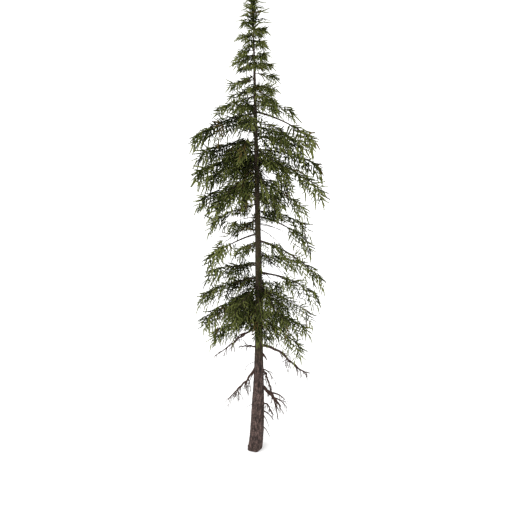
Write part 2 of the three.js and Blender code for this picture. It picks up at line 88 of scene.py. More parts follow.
# %% Floor and light
FLOOR_SIZE = 400
FLOOR_DROP = 0.004
SKY_STRENGTH = 1.2
SUN_STRENGTH = 1.6
SUN_ANGLE = 55
SUN_TURN = (50, 0, -65)

bpy.ops.mesh.primitive_plane_add(size=FLOOR_SIZE, location=(0, 0, -FLOOR_DROP))
floor = bpy.context.object
floor.name = "floor"

world = bpy.context.scene.world or bpy.data.worlds.new("sky")
bpy.context.scene.world = world
world.use_nodes = True
world.node_tree.nodes["Background"].inputs["Color"].default_value = (1, 1, 1, 1)
world.node_tree.nodes["Background"].inputs["Strength"].default_value = SKY_STRENGTH

bpy.ops.object.light_add(type="SUN", rotation=[math.radians(turn) for turn in SUN_TURN])
sun = bpy.context.object
sun.data.energy = SUN_STRENGTH
sun.data.angle = math.radians(SUN_ANGLE)
bpy.context.scene.view_settings.view_transform = "Standard"
print("floor and light set")

# %% [markdown]
# ## Shader sums
# Materials are mixed from noise and from height on the tree. Writing them as sums keeps them readable: a
# small class wraps a socket, each operator adds a Math node, and one method makes any other node.


# %% Shader sums
class Wire:
    """A shader socket that takes part in sums."""

    def __init__(self, tree, socket=None):
        self.tree = tree
        self.socket = socket

    def node(self, kind, settings=None, inputs=None, output=0):
        """Adds a node with its settings and inputs, and gives one of its outputs."""
        made = self.tree.nodes.new(kind)
        for name, value in (settings or {}).items():
            setattr(made, name, value)
        for name, value in (inputs or {}).items():
            if isinstance(value, Wire):
                self.tree.links.new(value.socket, made.inputs[name])
            else:
                made.inputs[name].default_value = value
        return Wire(self.tree, made.outputs[output])

    def maths(self, operation, first, second):
        return self.node("ShaderNodeMath", {"operation": operation}, {0: first, 1: second})

    def mix(self, dark, light):
        """A colour between two others, with this value as the share of the second."""
        return self.node("ShaderNodeMix", {"data_type": "RGBA"}, {0: self, 6: dark, 7: light}, 2)

    def ramp(self, *stops):
        """A shade of grey for each value, from stops of a place and a shade."""
        made = self.node("ShaderNodeValToRGB", None, {0: self})
        elements = made.socket.node.color_ramp.elements
        while len(elements) < len(stops):
            elements.new(1)
        for element, (place, shade) in zip(elements, stops):
            element.position = place
            element.color = (shade, shade, shade, 1)
        return made

    def smooth(self, low, high, first=0, last=1):
        """Goes smoothly from first to last while this value goes from low to high."""
        inputs = {0: self, 1: low, 2: high, 3: first, 4: last}
        return self.node("ShaderNodeMapRange", {"interpolation_type": "SMOOTHSTEP"}, inputs)

    def __sub__(self, other):
        return self.maths("SUBTRACT", self, other)

    def __rsub__(self, other):
        return self.maths("SUBTRACT", other, self)

    def __mul__(self, other):
        return self.maths("MULTIPLY", self, other)

    __rmul__ = __mul__


print("sums ready")

# %% [markdown]
# ## Material helpers
# Each natural surface here is dull and takes its pattern from its own object's coordinates, and wood carries
# a fine bump. These helpers make what the materials share. The floor is the first to use them.

# %% Material helpers
DULL_SHEEN = 0.25
FLOOR_ROUGHNESS = 0.9


def colour(red, green, blue):
    """A screen colour of 0 to 255 as a shader colour, by the usual screen curve."""
    parts = [part / 255 for part in (red, green, blue)]
    linear = [part / 12.92 if part <= 0.04045 else ((part + 0.055) / 1.055) ** 2.4 for part in parts]
    return (*linear, 1)


def new_material(name, roughness, sheen=DULL_SHEEN):
    material = bpy.data.materials.new(name)
    material.use_nodes = True
    shader = material.node_tree.nodes["Principled BSDF"]
    shader.inputs["Roughness"].default_value = roughness
    shader.inputs["Specular IOR Level"].default_value = sheen
    return material, Wire(material.node_tree), shader


def feed(shader, socket, wire):
    wire.tree.links.new(wire.socket, shader.inputs[socket])


def feed_bump(shader, height, strength, distance):
    inputs = {"Strength": strength, "Distance": distance, "Height": height}
    feed(shader, "Normal", height.node("ShaderNodeBump", None, inputs))


def place_on_object(wires):
    return wires.node("ShaderNodeTexCoord", output="Object")


def drawn_out(place, stretch):
    """Coordinates that draw a pattern out along the height when stretch is below 1."""
    return place.node("ShaderNodeMapping", None, {"Vector": place, "Scale": (1, 1, stretch)})


def noise(place, scale, detail, output=0, **more):
    inputs = {"Vector": place, "Scale": scale, "Detail": detail, **more}
    return place.node("ShaderNodeTexNoise", None, inputs, output)


floor_material, _, floor_shader = new_material("pale_floor", FLOOR_ROUGHNESS)
floor_shader.inputs["Base Color"].default_value = colour(252, 252, 252)
floor.data.materials.append(floor_material)
print("floor material", floor_material.name)

# %% [markdown]
# ## The trunk's line and girth
# A forest spruce narrows almost evenly to its tip, swells towards the ground and bows a little to one side.
# The same few sizes that shape the solid trunk give its axis and its radius at any height, so every bough can
# find the place where it springs.

# %% The trunk's line and girth
HEIGHT = 15.0
TRUNK_TOP = 14.35
TAPER_RADIUS = 0.18
TAPER_POWER = 0.9
TIP_RADIUS = 0.006
FLARE_RADIUS = 0.07
FLARE_HEIGHT = 2.8
FLARE_POWER = 3
BOW = 0.165
BOW_POWER = 0.6
LEAN = -0.035
BREAST_HEIGHT = 1.3


def trunk_axis(z):
    """How far the trunk's axis stands to the right at a height."""
    t = np.asarray(z, float) / HEIGHT
    return BOW * np.sin(np.pi * t**BOW_POWER) + LEAN * t


def trunk_radius(z):
    t = np.clip(np.asarray(z, float) / HEIGHT, 0, 1)
    flare = FLARE_RADIUS * np.exp(-((np.asarray(z, float) / FLARE_HEIGHT) ** FLARE_POWER))
    return TIP_RADIUS + TAPER_RADIUS * (1 - t) ** TAPER_POWER + flare


def on_axis(z):
    """Points on the trunk's axis."""
    z = np.asarray(z, float)
    return np.stack([trunk_axis(z), 0 * z, z], -1)


print("girth at breast height", round(2 * float(trunk_radius(BREAST_HEIGHT)), 3), "m across")

# %% [markdown]
# ## The trunk
# A round foot is extruded ring by ring up the axis, as a turner would build a leaning column. Drawing the
# whole outline and spinning it would be shorter, but the trunk isn't straight.

# %% The trunk
TRUNK_SIDES = 64
TRUNK_RINGS = 190
TRUNK_RING_POWER = 1.25


def ring_height(ring):
    """Rings stand closer together towards the foot."""
    return TRUNK_TOP * (ring / TRUNK_RINGS) ** TRUNK_RING_POWER


bpy.ops.object.select_all(action="DESELECT")
foot_radius = float(trunk_radius(0))
bpy.ops.mesh.primitive_circle_add(vertices=TRUNK_SIDES, radius=foot_radius, fill_type="NGON")
trunk = bpy.context.object
trunk.name = "trunk_bark"
bpy.ops.object.mode_set(mode="EDIT")
bpy.ops.mesh.select_all(action="SELECT")
level = 0.0
for ring in range(1, TRUNK_RINGS + 1):
    z = ring_height(ring)
    move = (float(trunk_axis(z) - trunk_axis(level)), 0, z - level)
    bpy.ops.mesh.extrude_region_move(TRANSFORM_OT_translate={"value": move})
    narrowing = float(trunk_radius(z) / trunk_radius(level))
    middle = (float(trunk_axis(z)), 0, z)
    bpy.ops.transform.resize(value=(narrowing, narrowing, 1), center_override=middle)
    level = z
bpy.ops.mesh.select_all(action="SELECT")
bpy.ops.mesh.normals_make_consistent(inside=False)
bpy.ops.object.mode_set(mode="OBJECT")
print("trunk rings", TRUNK_RINGS, "faces", len(trunk.data.polygons))

# %% [markdown]
# ## Buttresses
# Low buttresses run from the foot of the trunk into the ground. They are a wave round the girth that dies
# away upwards, so each point of the mesh is moved by the same sum, and no shape has to be modelled by hand.

# %% Buttresses
BUTTRESSES = 5
BUTTRESS_DEPTH = 0.07
BUTTRESS_HEIGHT = 0.9


def points_of(mesh):
    places = np.empty(len(mesh.vertices) * 3)
    mesh.vertices.foreach_get("co", places)
    return places.reshape(-1, 3)


places = points_of(trunk.data)
axis = trunk_axis(places[:, 2])
around = np.arctan2(places[:, 1], places[:, 0] - axis)
lobe = 1 + BUTTRESS_DEPTH * np.cos(BUTTRESSES * around) * np.exp(-places[:, 2] / BUTTRESS_HEIGHT)
places[:, 0] = axis + (places[:, 0] - axis) * lobe
places[:, 1] *= lobe
trunk.data.vertices.foreach_set("co", places.ravel())
print("buttresses", BUTTRESSES, "widest", round(float(np.abs(places[:, 0]).max()), 3))

# %% [markdown]
# ## Bark relief
# Simple subdivision gives enough faces for relief: broad swellings first, and over them the plates of old
# bark, drawn out along the stem. Displacement was chosen because the plates then also show in the outline. It
# fades towards the thin top by a vertex group, because young bark is smooth. The foot is pressed flat again
# afterwards, so that the cut stays level with the ground.

# %% Bark relief
SWELLING = 0.016
SWELLING_SIZE = 0.3
PLATE = 0.022
PLATE_SIZE = 0.055
PLATE_STRETCH = 2.6
RELIEF_MIDDLE = 0.45
FULL_RELIEF_RADIUS = 0.17


def apply_modifier(piece, kind, **settings):
    modifier = piece.modifiers.new(kind.lower(), kind)
    for name, value in settings.items():
        setattr(modifier, name, value)
    bpy.context.view_layer.objects.active = piece
    bpy.ops.object.modifier_apply(modifier=modifier.name)


apply_modifier(trunk, "SUBSURF", subdivision_type="SIMPLE", levels=1, render_levels=1)
relief = trunk.vertex_groups.new(name="relief")
for index, z in enumerate(points_of(trunk.data)[:, 2]):
    relief.add([index], min(1.0, float(trunk_radius(z)) / FULL_RELIEF_RADIUS), "REPLACE")
swell = bpy.data.textures.new("swelling", "CLOUDS")
swell.noise_scale = SWELLING_SIZE
plates = bpy.data.textures.new("plates", "VORONOI")
plates.noise_scale = PLATE_SIZE
plates.weight_1 = -1
plates.weight_2 = 1
bpy.ops.object.empty_add()
grain = bpy.context.object
grain.scale = (1, 1, PLATE_STRETCH)
bpy.context.view_layer.update()
for texture, strength in ((swell, SWELLING), (plates, PLATE)):
    bound = {"texture_coords": "OBJECT", "texture_coords_object": grain, "vertex_group": relief.name}
    apply_modifier(trunk, "DISPLACE", texture=texture, strength=strength, mid_level=RELIEF_MIDDLE, **bound)
bpy.data.objects.remove(grain)
places = points_of(trunk.data)
at_foot = places[:, 2] < ring_height(1) / 2
places[at_foot, 2] = 0
trunk.data.vertices.foreach_set("co", places.ravel())
trunk.data.update()
print("bark faces", len(trunk.data.polygons), "lowest", places[:, 2].min())

# %% [markdown]
# ## The line of a live bough
# A live bough springs from the trunk at its height and bearing, runs out to its reach and bends down to its
# tip. Two drawn numbers set how soon it bends and how it sways. The rule and its draws are those of the
# solids, so limb and foliage stay in the space that their solids hold.

# %% The line of a live bough
LIVE_SEED = 100
STRAIGHT_MOST = 0.6
SWAY_MOST = 0.06
ROOT_RADIUS_BASE = 0.007
ROOT_RADIUS_PER_REACH = 0.009
ROOT_TO_TRUNK = 0.6
NUDGE = 0.01
UP = np.array([0.0, 0.0, 1.0])


def seeded(seed):
    """The generator of numbers from 0 to 1 that the solids use."""
    mask = 0xFFFFFFFF
    state = seed

    def draw():
        nonlocal state
        state = (state + 0x6D2B79F5) & mask
        t = ((state ^ (state >> 15)) * (state | 1)) & mask
        t ^= (t + (((t ^ (t >> 7)) * (t | 61)) & mask)) & mask
        return ((t ^ (t >> 14)) & mask) / (mask + 1)

    return draw


def between(ends, t):
    """The value at the share t of the way from the first to the second of two values."""
    return ends[0] + (ends[1] - ends[0]) * t


def unit(vectors):
    return vectors / np.linalg.norm(vectors, axis=-1, keepdims=True)


def out_and_aside(bearing):
    """The ways outwards and sideways at a bearing, in degrees from the right of the photo."""
    turn = math.radians(bearing)
    out = np.array([math.cos(turn), math.sin(turn), 0.0])
    return out, np.array([-math.sin(turn), math.cos(turn), 0.0])


class Bough:
    """One bough's line, as a share t of its reach from the trunk's axis."""

    def __init__(self, seed, height, bearing, reach, rise, bare=0.0):
        draw = seeded(seed)
        self.height, self.reach, self.rise, self.bare = height, reach, rise, bare
        self.straight = STRAIGHT_MOST * draw()
        self.sway = SWAY_MOST * reach * (2 * draw() - 1)
        self.out, self.aside = out_and_aside(bearing)
        self.root = on_axis(height)
        girth = ROOT_TO_TRUNK * float(trunk_radius(height))
        self.radius = min(ROOT_RADIUS_BASE + ROOT_RADIUS_PER_REACH * reach, girth)

    def at(self, t):
        t = np.asarray(t, float)[..., None]
        bend = t * t + (t - t * t) * self.straight
        run = self.reach * t * self.out + self.sway * np.sin(np.pi * t) * self.aside
        return self.root + run + self.rise * bend * UP

    def ahead(self, t):
        """The way in which the bough runs."""
        t = np.asarray(t, float)
        return unit(self.at(t + NUDGE) - self.at(t - NUDGE))


print("first draw", round(seeded(LIVE_SEED)(), 4))

# %% [markdown]
# ## The live boughs
# The table lists the main boughs from the top down, in metres and degrees, as the solids have them. Between
# them short minor ones fill the inside of the crown. In the middle of the crown none of these stands in front
# of the trunk, which shows bare there. Five regions of the crown let the rules for sprays differ by height.

# %% The live boughs
MINOR_SEED = 300
MINOR_SEEDS_PER_BOUGH = 3
MINORS = 2
MINOR_SHARES = (0.75, 0.6, 0.6, 0.6, 0.6)
MINOR_DROPS = (0.14, 0.2, 0.2, 0.2, 0.2)
MINOR_LOWEST = 5.3
GOLDEN_TURN = 137.5
FRONT = (240, 300)
REGIONS = ("top", "upper", "middle", "low", "skirt")
REGION_ENDS = (13, 24, 35, 41, 46)

# Height, bearing, reach and rise of the tip, and the share of bare limb where there is one.
LIVE_BOUGHS = [
    (14.27, 150, 0.4, -0.02), (14.11, -20, 0.42, 0.01), (13.93, 205, 0.48, 0.02), (13.68, 50, 0.54, 0),
    (13.48, -30, 0.45, -0.02), (13.4, 142, 0.66, -0.08), (13.34, 225, 0.74, -0.06),
    (12.93, -5, 0.7, -0.11), (12.74, 196, 0.78, -0.12), (12.56, 56, 1, -0.16), (12.44, 308, 0.92, -0.2),
    (12.29, 186, 1.1, -0.37), (12.16, -16, 1.24, -0.3), (11.85, -24, 1.85, -0.68, 0.55),
    (11.79, 195, 1.84, -0.55), (11.42, -32, 1.6, -0.42), (11.12, 50, 1.65, -0.5),
    (10.96, 168, 1.74, -0.43), (10.74, 8, 2.06, -0.66), (10.7, 196, 1.9, -0.52),
    (10.46, 108, 1.85, -0.65), (10.39, -22, 2.13, -0.76), (10.36, 172, 1.6, -0.62),
    (10.06, 232, 1.85, -0.6), (9.78, -20, 1.65, -0.75), (9.76, 180, 1.8, -0.56),
    (9.26, 65, 1.75, -0.56), (9.06, 190, 1.55, -0.56), (8.84, 18, 1.7, -0.7),
    (8.66, -12, 1.75, -0.85, 0.5), (8.6, 224, 1.75, -0.56), (8.1, 196, 1.65, -0.66, 0.65),
    (7.87, -17, 2.18, -1.18, 0.4), (7.3, 40, 1.7, -0.65), (7.02, 150, 1.95, -0.64),
    (6.76, -2, 2.02, -0.9, 0.4), (6.6, 176, 1.98, -0.76), (6.36, 238, 1.8, -0.62),
    (6.33, 84, 1.85, -0.75), (6.23, -58, 1.75, -0.6), (6.18, -8, 1.78, -0.8), (6.05, 192, 1.86, -0.77),
    (5.5, 125, 1.75, -0.62), (5.33, 14, 1.72, -0.74), (5.18, -35, 1.7, -0.7), (5.14, 172, 1.6, -0.68),
]


def region_of(index):
    return next(k for k, end in enumerate(REGION_ENDS) if index < end)


boughs = [(region_of(index), Bough(LIVE_SEED + index, *row)) for index, row in enumerate(LIVE_BOUGHS)]
for index, (height, bearing, reach, rise, *_) in enumerate(LIVE_BOUGHS):
    region = region_of(index)
    share = MINOR_SHARES[region]
    for k in range(MINORS):
        turn = (bearing + GOLDEN_TURN * (k + 1)) % 360
        if FRONT[0] < turn < FRONT[1] and REGIONS[region] == "middle":
            turn += FRONT[1] - FRONT[0]
        low = max(MINOR_LOWEST, height - MINOR_DROPS[region] * (k + 1))
        seed = MINOR_SEED + MINOR_SEEDS_PER_BOUGH * index + k
        boughs.append((region, Bough(seed, low, turn, share * reach, share * rise)))
print("live boughs", len(LIVE_BOUGHS), "with minor ones", len(boughs))

# %% [markdown]
# ## Limbs of the live boughs
# Each limb is a drawn line with a radius at every point. A curve object with a round bevel takes those radii
# directly, so all limbs are strung in one curve and turned into a mesh, and a fine displacement roughens
# them. Boughs with a bare part are stouter, because their limb shows. The leader's stem is one more line.

# %% Limbs of the live boughs
LIMB_POINTS = 14
LIMB_BEVEL = 2
LIMB_TIP_RADIUS = 0.003
LIMB_TAPER_POWER = 0.8
BARE_STOUTER = 1.4
BARE_TAPER_POWER = 1.3
LIMB_ROUGHNESS = 0.006
LIMB_ROUGH_SIZE = 0.04
STEM_OVERLAP = 0.05
STEM_ROOM = 0.03
STEM_NARROWING = 0.85


def limbs_of(name, lines, radii, rough_size):
    """One mesh of round limbs along lines, with a radius for each of their points."""
    data = bpy.data.curves.new(name, "CURVE")
    data.dimensions = "3D"
    data.bevel_depth = 1
    data.bevel_resolution = LIMB_BEVEL
    data.use_fill_caps = True
    for line, girth in zip(lines, radii):
        spline = data.splines.new("POLY")
        spline.points.add(len(line) - 1)
        for point, place, radius in zip(spline.points, line, girth):
            point.co = (*place, 1)
            point.radius = radius
    piece = bpy.data.objects.new(name, data)
    bpy.context.collection.objects.link(piece)
    bpy.ops.object.select_all(action="DESELECT")
    piece.select_set(True)
    bpy.context.view_layer.objects.active = piece
    bpy.ops.object.convert(target="MESH")
    rough = bpy.data.textures.new(name + "_rough", "CLOUDS")
    rough.noise_scale = rough_size
    apply_modifier(piece, "DISPLACE", texture=rough, strength=LIMB_ROUGHNESS)
    bpy.ops.object.shade_smooth()
    return piece


shares = np.linspace(0, 1, LIMB_POINTS)
limb_lines = [bough.at(shares) for region, bough in boughs]
limb_radii = []
for region, bough in boughs:
    stout, power = (BARE_STOUTER, BARE_TAPER_POWER) if bough.bare else (1, LIMB_TAPER_POWER)
    girth = stout * bough.radius
    limb_radii.append(between((girth, LIMB_TIP_RADIUS), shares**power))
limb_lines.append(on_axis(np.linspace(TRUNK_TOP - STEM_OVERLAP, HEIGHT - STEM_ROOM, LIMB_POINTS)))
limb_radii.append(float(trunk_radius(TRUNK_TOP)) * (1 - STEM_NARROWING * shares))
live_limbs = limbs_of("live_limbs", limb_lines, limb_radii, LIMB_ROUGH_SIZE)
print("live limbs", len(limb_lines), "faces", len(live_limbs.data.polygons))

# %% [markdown]
# ## Dead twigs
# A dead twig springs from its limb, arches over and hooks down, and finer ones fork off it. A curve through
# three points is enough for such a hook. The finer twigs are made by the same function once more, because
# they have the same form.

# %% Dead twigs
DEAD_TWIG_MIDDLE = (0.4, 0.3, 0.08)
DEAD_TWIG_END = (0.55, 0.5)
DEAD_TWIG_HOOKS = (0.35, 0.6)
DEAD_TWIG_POINTS = 7
DEAD_TWIG_TIP_RADIUS = 0.0055
DEAD_TWIG_FORK_PLACES = (0.25, 0.85)
DEAD_TWIG_FORK_SIZES = (0.35, 0.65)
DEAD_TWIG_FORK_RADIUS = 0.7

dead_lines, dead_radii = [], []


def curl(root, middle, end, t):
    """Points on a curve from root to end, drawn towards middle."""
    t = np.asarray(t, float)[..., None]
    return (1 - t) ** 2 * root + 2 * t * (1 - t) * middle + t * t * end


def add_dead_line(root, middle, end, first, last, points):
    """A curved line whose radius goes evenly from first to last."""
    shares = np.linspace(0, 1, points)
    dead_lines.append(curl(root, middle, end, shares))
    dead_radii.append(between((first, last), shares))


def add_dead_twig(rng, root, along, side, size, radius, forks):
    """A hooked twig and, on it, finer ones."""
    near, aside, up = DEAD_TWIG_MIDDLE
    middle = root + size * (near * along + aside * side) + up * size * UP
    far, aside = DEAD_TWIG_END
    end = root + size * (far * along + aside * side) - rng.uniform(*DEAD_TWIG_HOOKS) * size * UP
    add_dead_line(root, middle, end, radius, DEAD_TWIG_TIP_RADIUS, DEAD_TWIG_POINTS)
    for fork in range(forks):
        t = rng.uniform(*DEAD_TWIG_FORK_PLACES)
        start = curl(root, middle, end, t)
        way = unit(curl(root, middle, end, t + 2 * NUDGE) - start)
        swing = unit(np.cross(way, rng.normal(size=3)))
        thin = between((radius, DEAD_TWIG_TIP_RADIUS), t)
        part = size * rng.uniform(*DEAD_TWIG_FORK_SIZES)
        add_dead_twig(rng, start, way, swing, part, DEAD_TWIG_FORK_RADIUS * thin, 0)


print("dead twigs of", DEAD_TWIG_POINTS, "points")

# %% [markdown]
# ## Sizes of the dead boughs
# The lowest limbs have lost their needles. They are crooked and break off short. Their sizes, in metres and
# degrees, and their rule are those of the solids, so that each dead limb stays in its solid's place.

# %% Sizes of the dead boughs
DEAD_SEED = 900

# Height, bearing, reach, rise of the tip, power and ease of the bend, radius at the root, number of twigs.
DEAD_BOUGHS = [
    (5, 186, 1.46, -1.17, 1, 0, 0.03, 5), (4.15, 4, 1.72, -1.15, 1.2, 1, 0.042, 8),
    (4.12, 172, 0.66, -0.07, 1, 0, 0.028, 3), (3.5, 184, 1.05, -1.42, 0.8, 0, 0.036, 8),
    (3.34, -14, 0.44, -0.94, 1.9, 0, 0.038, 5), (2.6, -6, 0.76, -0.8, 1.55, 0, 0.06, 8),
    (2.04, -12, 0.53, -0.56, 2.1, 0, 0.028, 5),
]

# Forks: number of the bough, share of its length at the root, and the run outwards, sideways and up.
DEAD_FORKS = [
    (1, 0.3, 0.46, -0.06, -0.56), (2, 0.42, 0.24, 0.06, -0.3), (2, 0.55, -0.06, 0.06, -0.34),
    (2, 0.75, 0.15, -0.06, -0.33), (3, 0.4, 0.23, 0.04, 0.23), (4, 0.36, 0.06, 0.07, -0.42),
    (4, 0.36, -0.11, -0.06, -0.56), (4, 0.7, -0.06, 0.05, -0.38), (4, 0.7, 0.06, -0.06, -0.3),
    (5, 0.3, 0.33, 0.06, -0.35), (6, 0.5, 0.52, 0.08, -0.3), (6, 0.7, 0.46, -0.09, -0.33),
    (6, 0.4, 0.38, -0.05, -1.12), (7, 0.5, 0.14, 0.06, -0.26),
]
DEAD_CROOKS = 5
DEAD_CROOK_SHARE = 0.025
DEAD_STEPS = 6
DEAD_END_RADIUS = 0.35
DEAD_TAPER_POWER = 1.8
DEAD_POINTS = 14
DEAD_KINK = 0.032
DEAD_KNOTS = 0.25
DEAD_FORK_BEND = 0.6
DEAD_FORK_RADIUS = 0.75
DEAD_FORK_LEAST = 0.026
DEAD_FORK_MOST = 0.95
DEAD_FORK_END_RADIUS = 0.4
DEAD_FORK_POINTS = 10
FORK_TWIG_PLACES = (0.45, 0.7, 0.9)
FORK_TWIG_RADIUS = 0.65
FORK_TWIG_NARROWING = 0.6
FORK_TWIG_SIZES = (0.2, 0.34)
DEAD_TWIG_PLACES = (0.3, 0.95)
DEAD_TWIG_SHARE = 0.36
DEAD_TWIG_SIZES = (0.6, 1.1)
DEAD_TWIG_LIMITS = (0.18, 0.48)
DEAD_TWIG_SPREADS = (0.3, 1.0)
DEAD_TWIG_RADIUS = 0.7
DEAD_TWIG_RADIUS_LEAST = 0.012
DEAD_TWIG_FORKS = 4
STAGGER = 0.5
print("dead boughs", len(DEAD_BOUGHS), "forks", len(DEAD_FORKS))

# %% [markdown]
# ## The dead boughs
# Each main line runs smoothly through a few crooked corners, with a knot and a slight kink at every step. A
# line through given points was chosen because it keeps to the corners of the solids. Each fork and twig then
# bears finer twigs, which the solids are too coarse to hold.


# %% The dead boughs
def through(corners, t):
    """Points on a smooth line through corners, evenly shared among its spans."""
    corners = np.asarray(corners, float)
    first = 2 * corners[0] - corners[1]
    last = 2 * corners[-1] - corners[-2]
    padded = np.vstack([first, corners, last])
    spans = len(corners) - 1
    place = np.clip(np.asarray(t, float) * spans, 0, spans - 1e-9)
    span = place.astype(int)
    u = (place - span)[..., None]
    a, b, c, d = (padded[span + k] for k in range(4))
    return 0.5 * (2 * b + (c - a) * u + (2 * a - 5 * b + 4 * c - d) * u**2 + (3 * b - a - 3 * c + d) * u**3)


def crooked_corners(draw, base, out, aside, reach, rise, power, ease):
    corners = [base]
    for crook in range(1, DEAD_CROOKS + 1):
        t = crook / DEAD_CROOKS
        most = DEAD_CROOK_SHARE * reach if crook < DEAD_CROOKS else 0
        swing, lift = most * (2 * draw() - 1), most * (2 * draw() - 1)
        bend = t**power
        bend += ease * (bend * bend * (3 - 2 * bend) - bend)
        corners.append(base + reach * t * out + swing * aside + (rise * bend + lift) * UP)
    return corners


def dead_girth(radius, t):
    return radius * (1 + (DEAD_END_RADIUS - 1) * t**DEAD_TAPER_POWER)


def add_fork(rng, root, out, across, lift, limb_radius):
    """A fork of a dead bough, with twigs of its own."""
    middle = root + DEAD_FORK_BEND * (out + across)
    end = root + out + across + lift * UP
    radius = min(DEAD_FORK_MOST * limb_radius, max(DEAD_FORK_RADIUS * limb_radius, DEAD_FORK_LEAST))
    add_dead_line(root, middle, end, radius, DEAD_FORK_END_RADIUS * radius, DEAD_FORK_POINTS)
    for t in FORK_TWIG_PLACES:
        start = curl(root, middle, end, t)
        along = unit(curl(root, middle, end, t + 2 * NUDGE) - start)
        side = unit(np.cross(along, rng.normal(size=3)))
        thin = FORK_TWIG_RADIUS * radius * (1 - FORK_TWIG_NARROWING * t)
        add_dead_twig(rng, start, along, side, rng.uniform(*FORK_TWIG_SIZES), thin, 1)


def add_bough_twigs(rng, draw, corners, length, radius, count):
    """Twigs to both sides along a dead bough."""
    for twig in range(count):
        wanted = between(DEAD_TWIG_PLACES, (twig + STAGGER * draw()) / count)
        t = round(wanted * DEAD_STEPS) / DEAD_STEPS
        spread = between(DEAD_TWIG_SPREADS, draw())
        size = np.clip(DEAD_TWIG_SHARE * length * between(DEAD_TWIG_SIZES, draw()), *DEAD_TWIG_LIMITS)
        root = through(corners, t)
        along = unit(root - through(corners, t - 2 * NUDGE))
        side = np.cross(UP, along) * (1 if twig % 2 else -1) * spread
        thin = max(DEAD_TWIG_RADIUS * radius * (1 + (DEAD_END_RADIUS - 1) * t), DEAD_TWIG_RADIUS_LEAST)
        add_dead_twig(rng, root, along, side, size, thin, DEAD_TWIG_FORKS)


for index, (height, bearing, reach, rise, power, ease, radius, twig_count) in enumerate(DEAD_BOUGHS):
    draw = seeded(DEAD_SEED + index)
    rng = np.random.default_rng(DEAD_SEED + index)
    out, aside = out_and_aside(bearing)
    corners = crooked_corners(draw, on_axis(height), out, aside, reach, rise, power, ease)
    steps = np.linspace(0, 1, DEAD_POINTS)
    knots = 1 + DEAD_KNOTS * rng.random(len(steps))
    kinks = DEAD_KINK * rng.uniform(-1, 1, (len(steps), 3)) * np.sin(np.pi * steps)[:, None]
    line = through(corners, steps) + kinks
    dead_lines.append(line)
    dead_radii.append(dead_girth(radius, steps) * knots)
    for number, share, run, shift, lift in DEAD_FORKS:
        if number == index + 1:
            add_fork(rng, through(corners, share), run * out, shift * aside, lift, dead_girth(radius, share))
    length = np.linalg.norm(np.diff(line, axis=0), axis=1).sum()
    add_bough_twigs(rng, draw, corners, length, radius, twig_count)
print("lines of dead wood", len(dead_lines))

# %% [markdown]
# ## Stubs on the bare trunk
# Where limbs broke off, stubs and whisker-thin twigs stand straight on the trunk. They are lines like the
# rest of the dead wood, and the longer ones bear one forked twig. All dead wood is joined in one piece.

# %% Stubs on the bare trunk
# Height, bearing, length, drop of the end and radius.
STUBS = [
    (3.86, -25, 0.2, 0.2, 0.055), (1.6, -10, 0.42, 0.36, 0.03), (1.5, -28, 0.3, 0.46, 0.026),
    (1.0, -20, 0.32, 0.4, 0.024), (3.55, 195, 0.42, 0.2, 0.012), (1.9, 200, 0.36, 0.16, 0.012),
    (3.2, 205, 0.32, 0.62, 0.022), (2.75, 60, 0.5, 0.4, 0.02), (1.75, 110, 0.45, 0.35, 0.018),
    (3.5, 95, 0.6, 0.45, 0.022),
]
STUB_ROOT = 0.6
STUB_BEND = (0.6, 0.15)
STUB_POINTS = 8
STUB_END_RADIUS = 0.3
STUB_TWIG_FROM = 0.4
STUB_TWIG_SIZE = 0.25
STUB_TWIG_RADIUS = 0.4
DEAD_ROUGH_SIZE = 0.03

rng = np.random.default_rng(DEAD_SEED + len(DEAD_BOUGHS))
for height, bearing, length, drop, radius in STUBS:
    out, aside = out_and_aside(bearing)
    root = on_axis(height) + STUB_ROOT * float(trunk_radius(height)) * out
    middle = root + STUB_BEND[0] * length * out - STUB_BEND[1] * drop * UP
    end = root + length * out - drop * UP
    add_dead_line(root, middle, end, radius, STUB_END_RADIUS * radius, STUB_POINTS)
    if length > STUB_TWIG_FROM:
        halfway = dead_lines[-1][STUB_POINTS // 2]
        add_dead_twig(rng, halfway, out, -UP, STUB_TWIG_SIZE, STUB_TWIG_RADIUS * radius, 1)
dead_limbs = limbs_of("dead_limbs", dead_lines, dead_radii, DEAD_ROUGH_SIZE)
print("dead limbs and twigs", len(dead_lines), "faces", len(dead_limbs.data.polygons))

# %% [markdown]
# ## A spray of shoots
# A spray is a thin twig with needle shoots on both sides and one at its end. Shoots are collected as plain
# arrays first: thousands of them are far too many to model one by one, and arrays let a rule decide later
# which of them to leave out. Outer sprays are lighter, because their needles are younger.

# %% A spray of shoots
SHOOT_STEP = 0.085
SPACING_LEAST = (0.8, 0.8, 0.6, 0.6, 0.6)
SHOOTS_FEWEST = 5
SHOOT_STAGGER = 0.15
SHOOT_LENGTHS = (0.22, 0.3)
SHOOT_NARROWING = 0.4
SHOOT_ANGLES = (50, 62)
SHOOT_DROOPS = (0.05, 0.2)
TWIG_RADIUS = 0.006
TWIG_RADIUS_BASE = 0.5
TWIG_POINTS = 5
TINTS = ("deep", "green", "fresh", "brown")
FRESH = 2
FRESH_FROM = 0.8
DEEP_LEAST, DEEP_INSIDE, DEEP_FALL = 0.05, 0.45, 0.25
FRESH_MOST, FRESH_INSIDE, FRESH_RISE = 0.6, 0.18, 0.2
BROWN_SHARE = 0.035

shoots = {name: [] for name in ("base", "way", "length", "tint", "region", "twig")}
twigs = {"line": [], "radius": []}


def tint_of(rng, share):
    """Inner sprays are mostly deep green, outer ones fresher, and a few have turned brown."""
    deep = max(DEEP_LEAST, DEEP_INSIDE - DEEP_FALL * share)
    fresh = min(FRESH_MOST, FRESH_INSIDE + FRESH_RISE * share)
    return rng.choice(len(TINTS), p=[deep, 1 - deep - fresh - BROWN_SHARE, fresh, BROWN_SHARE])


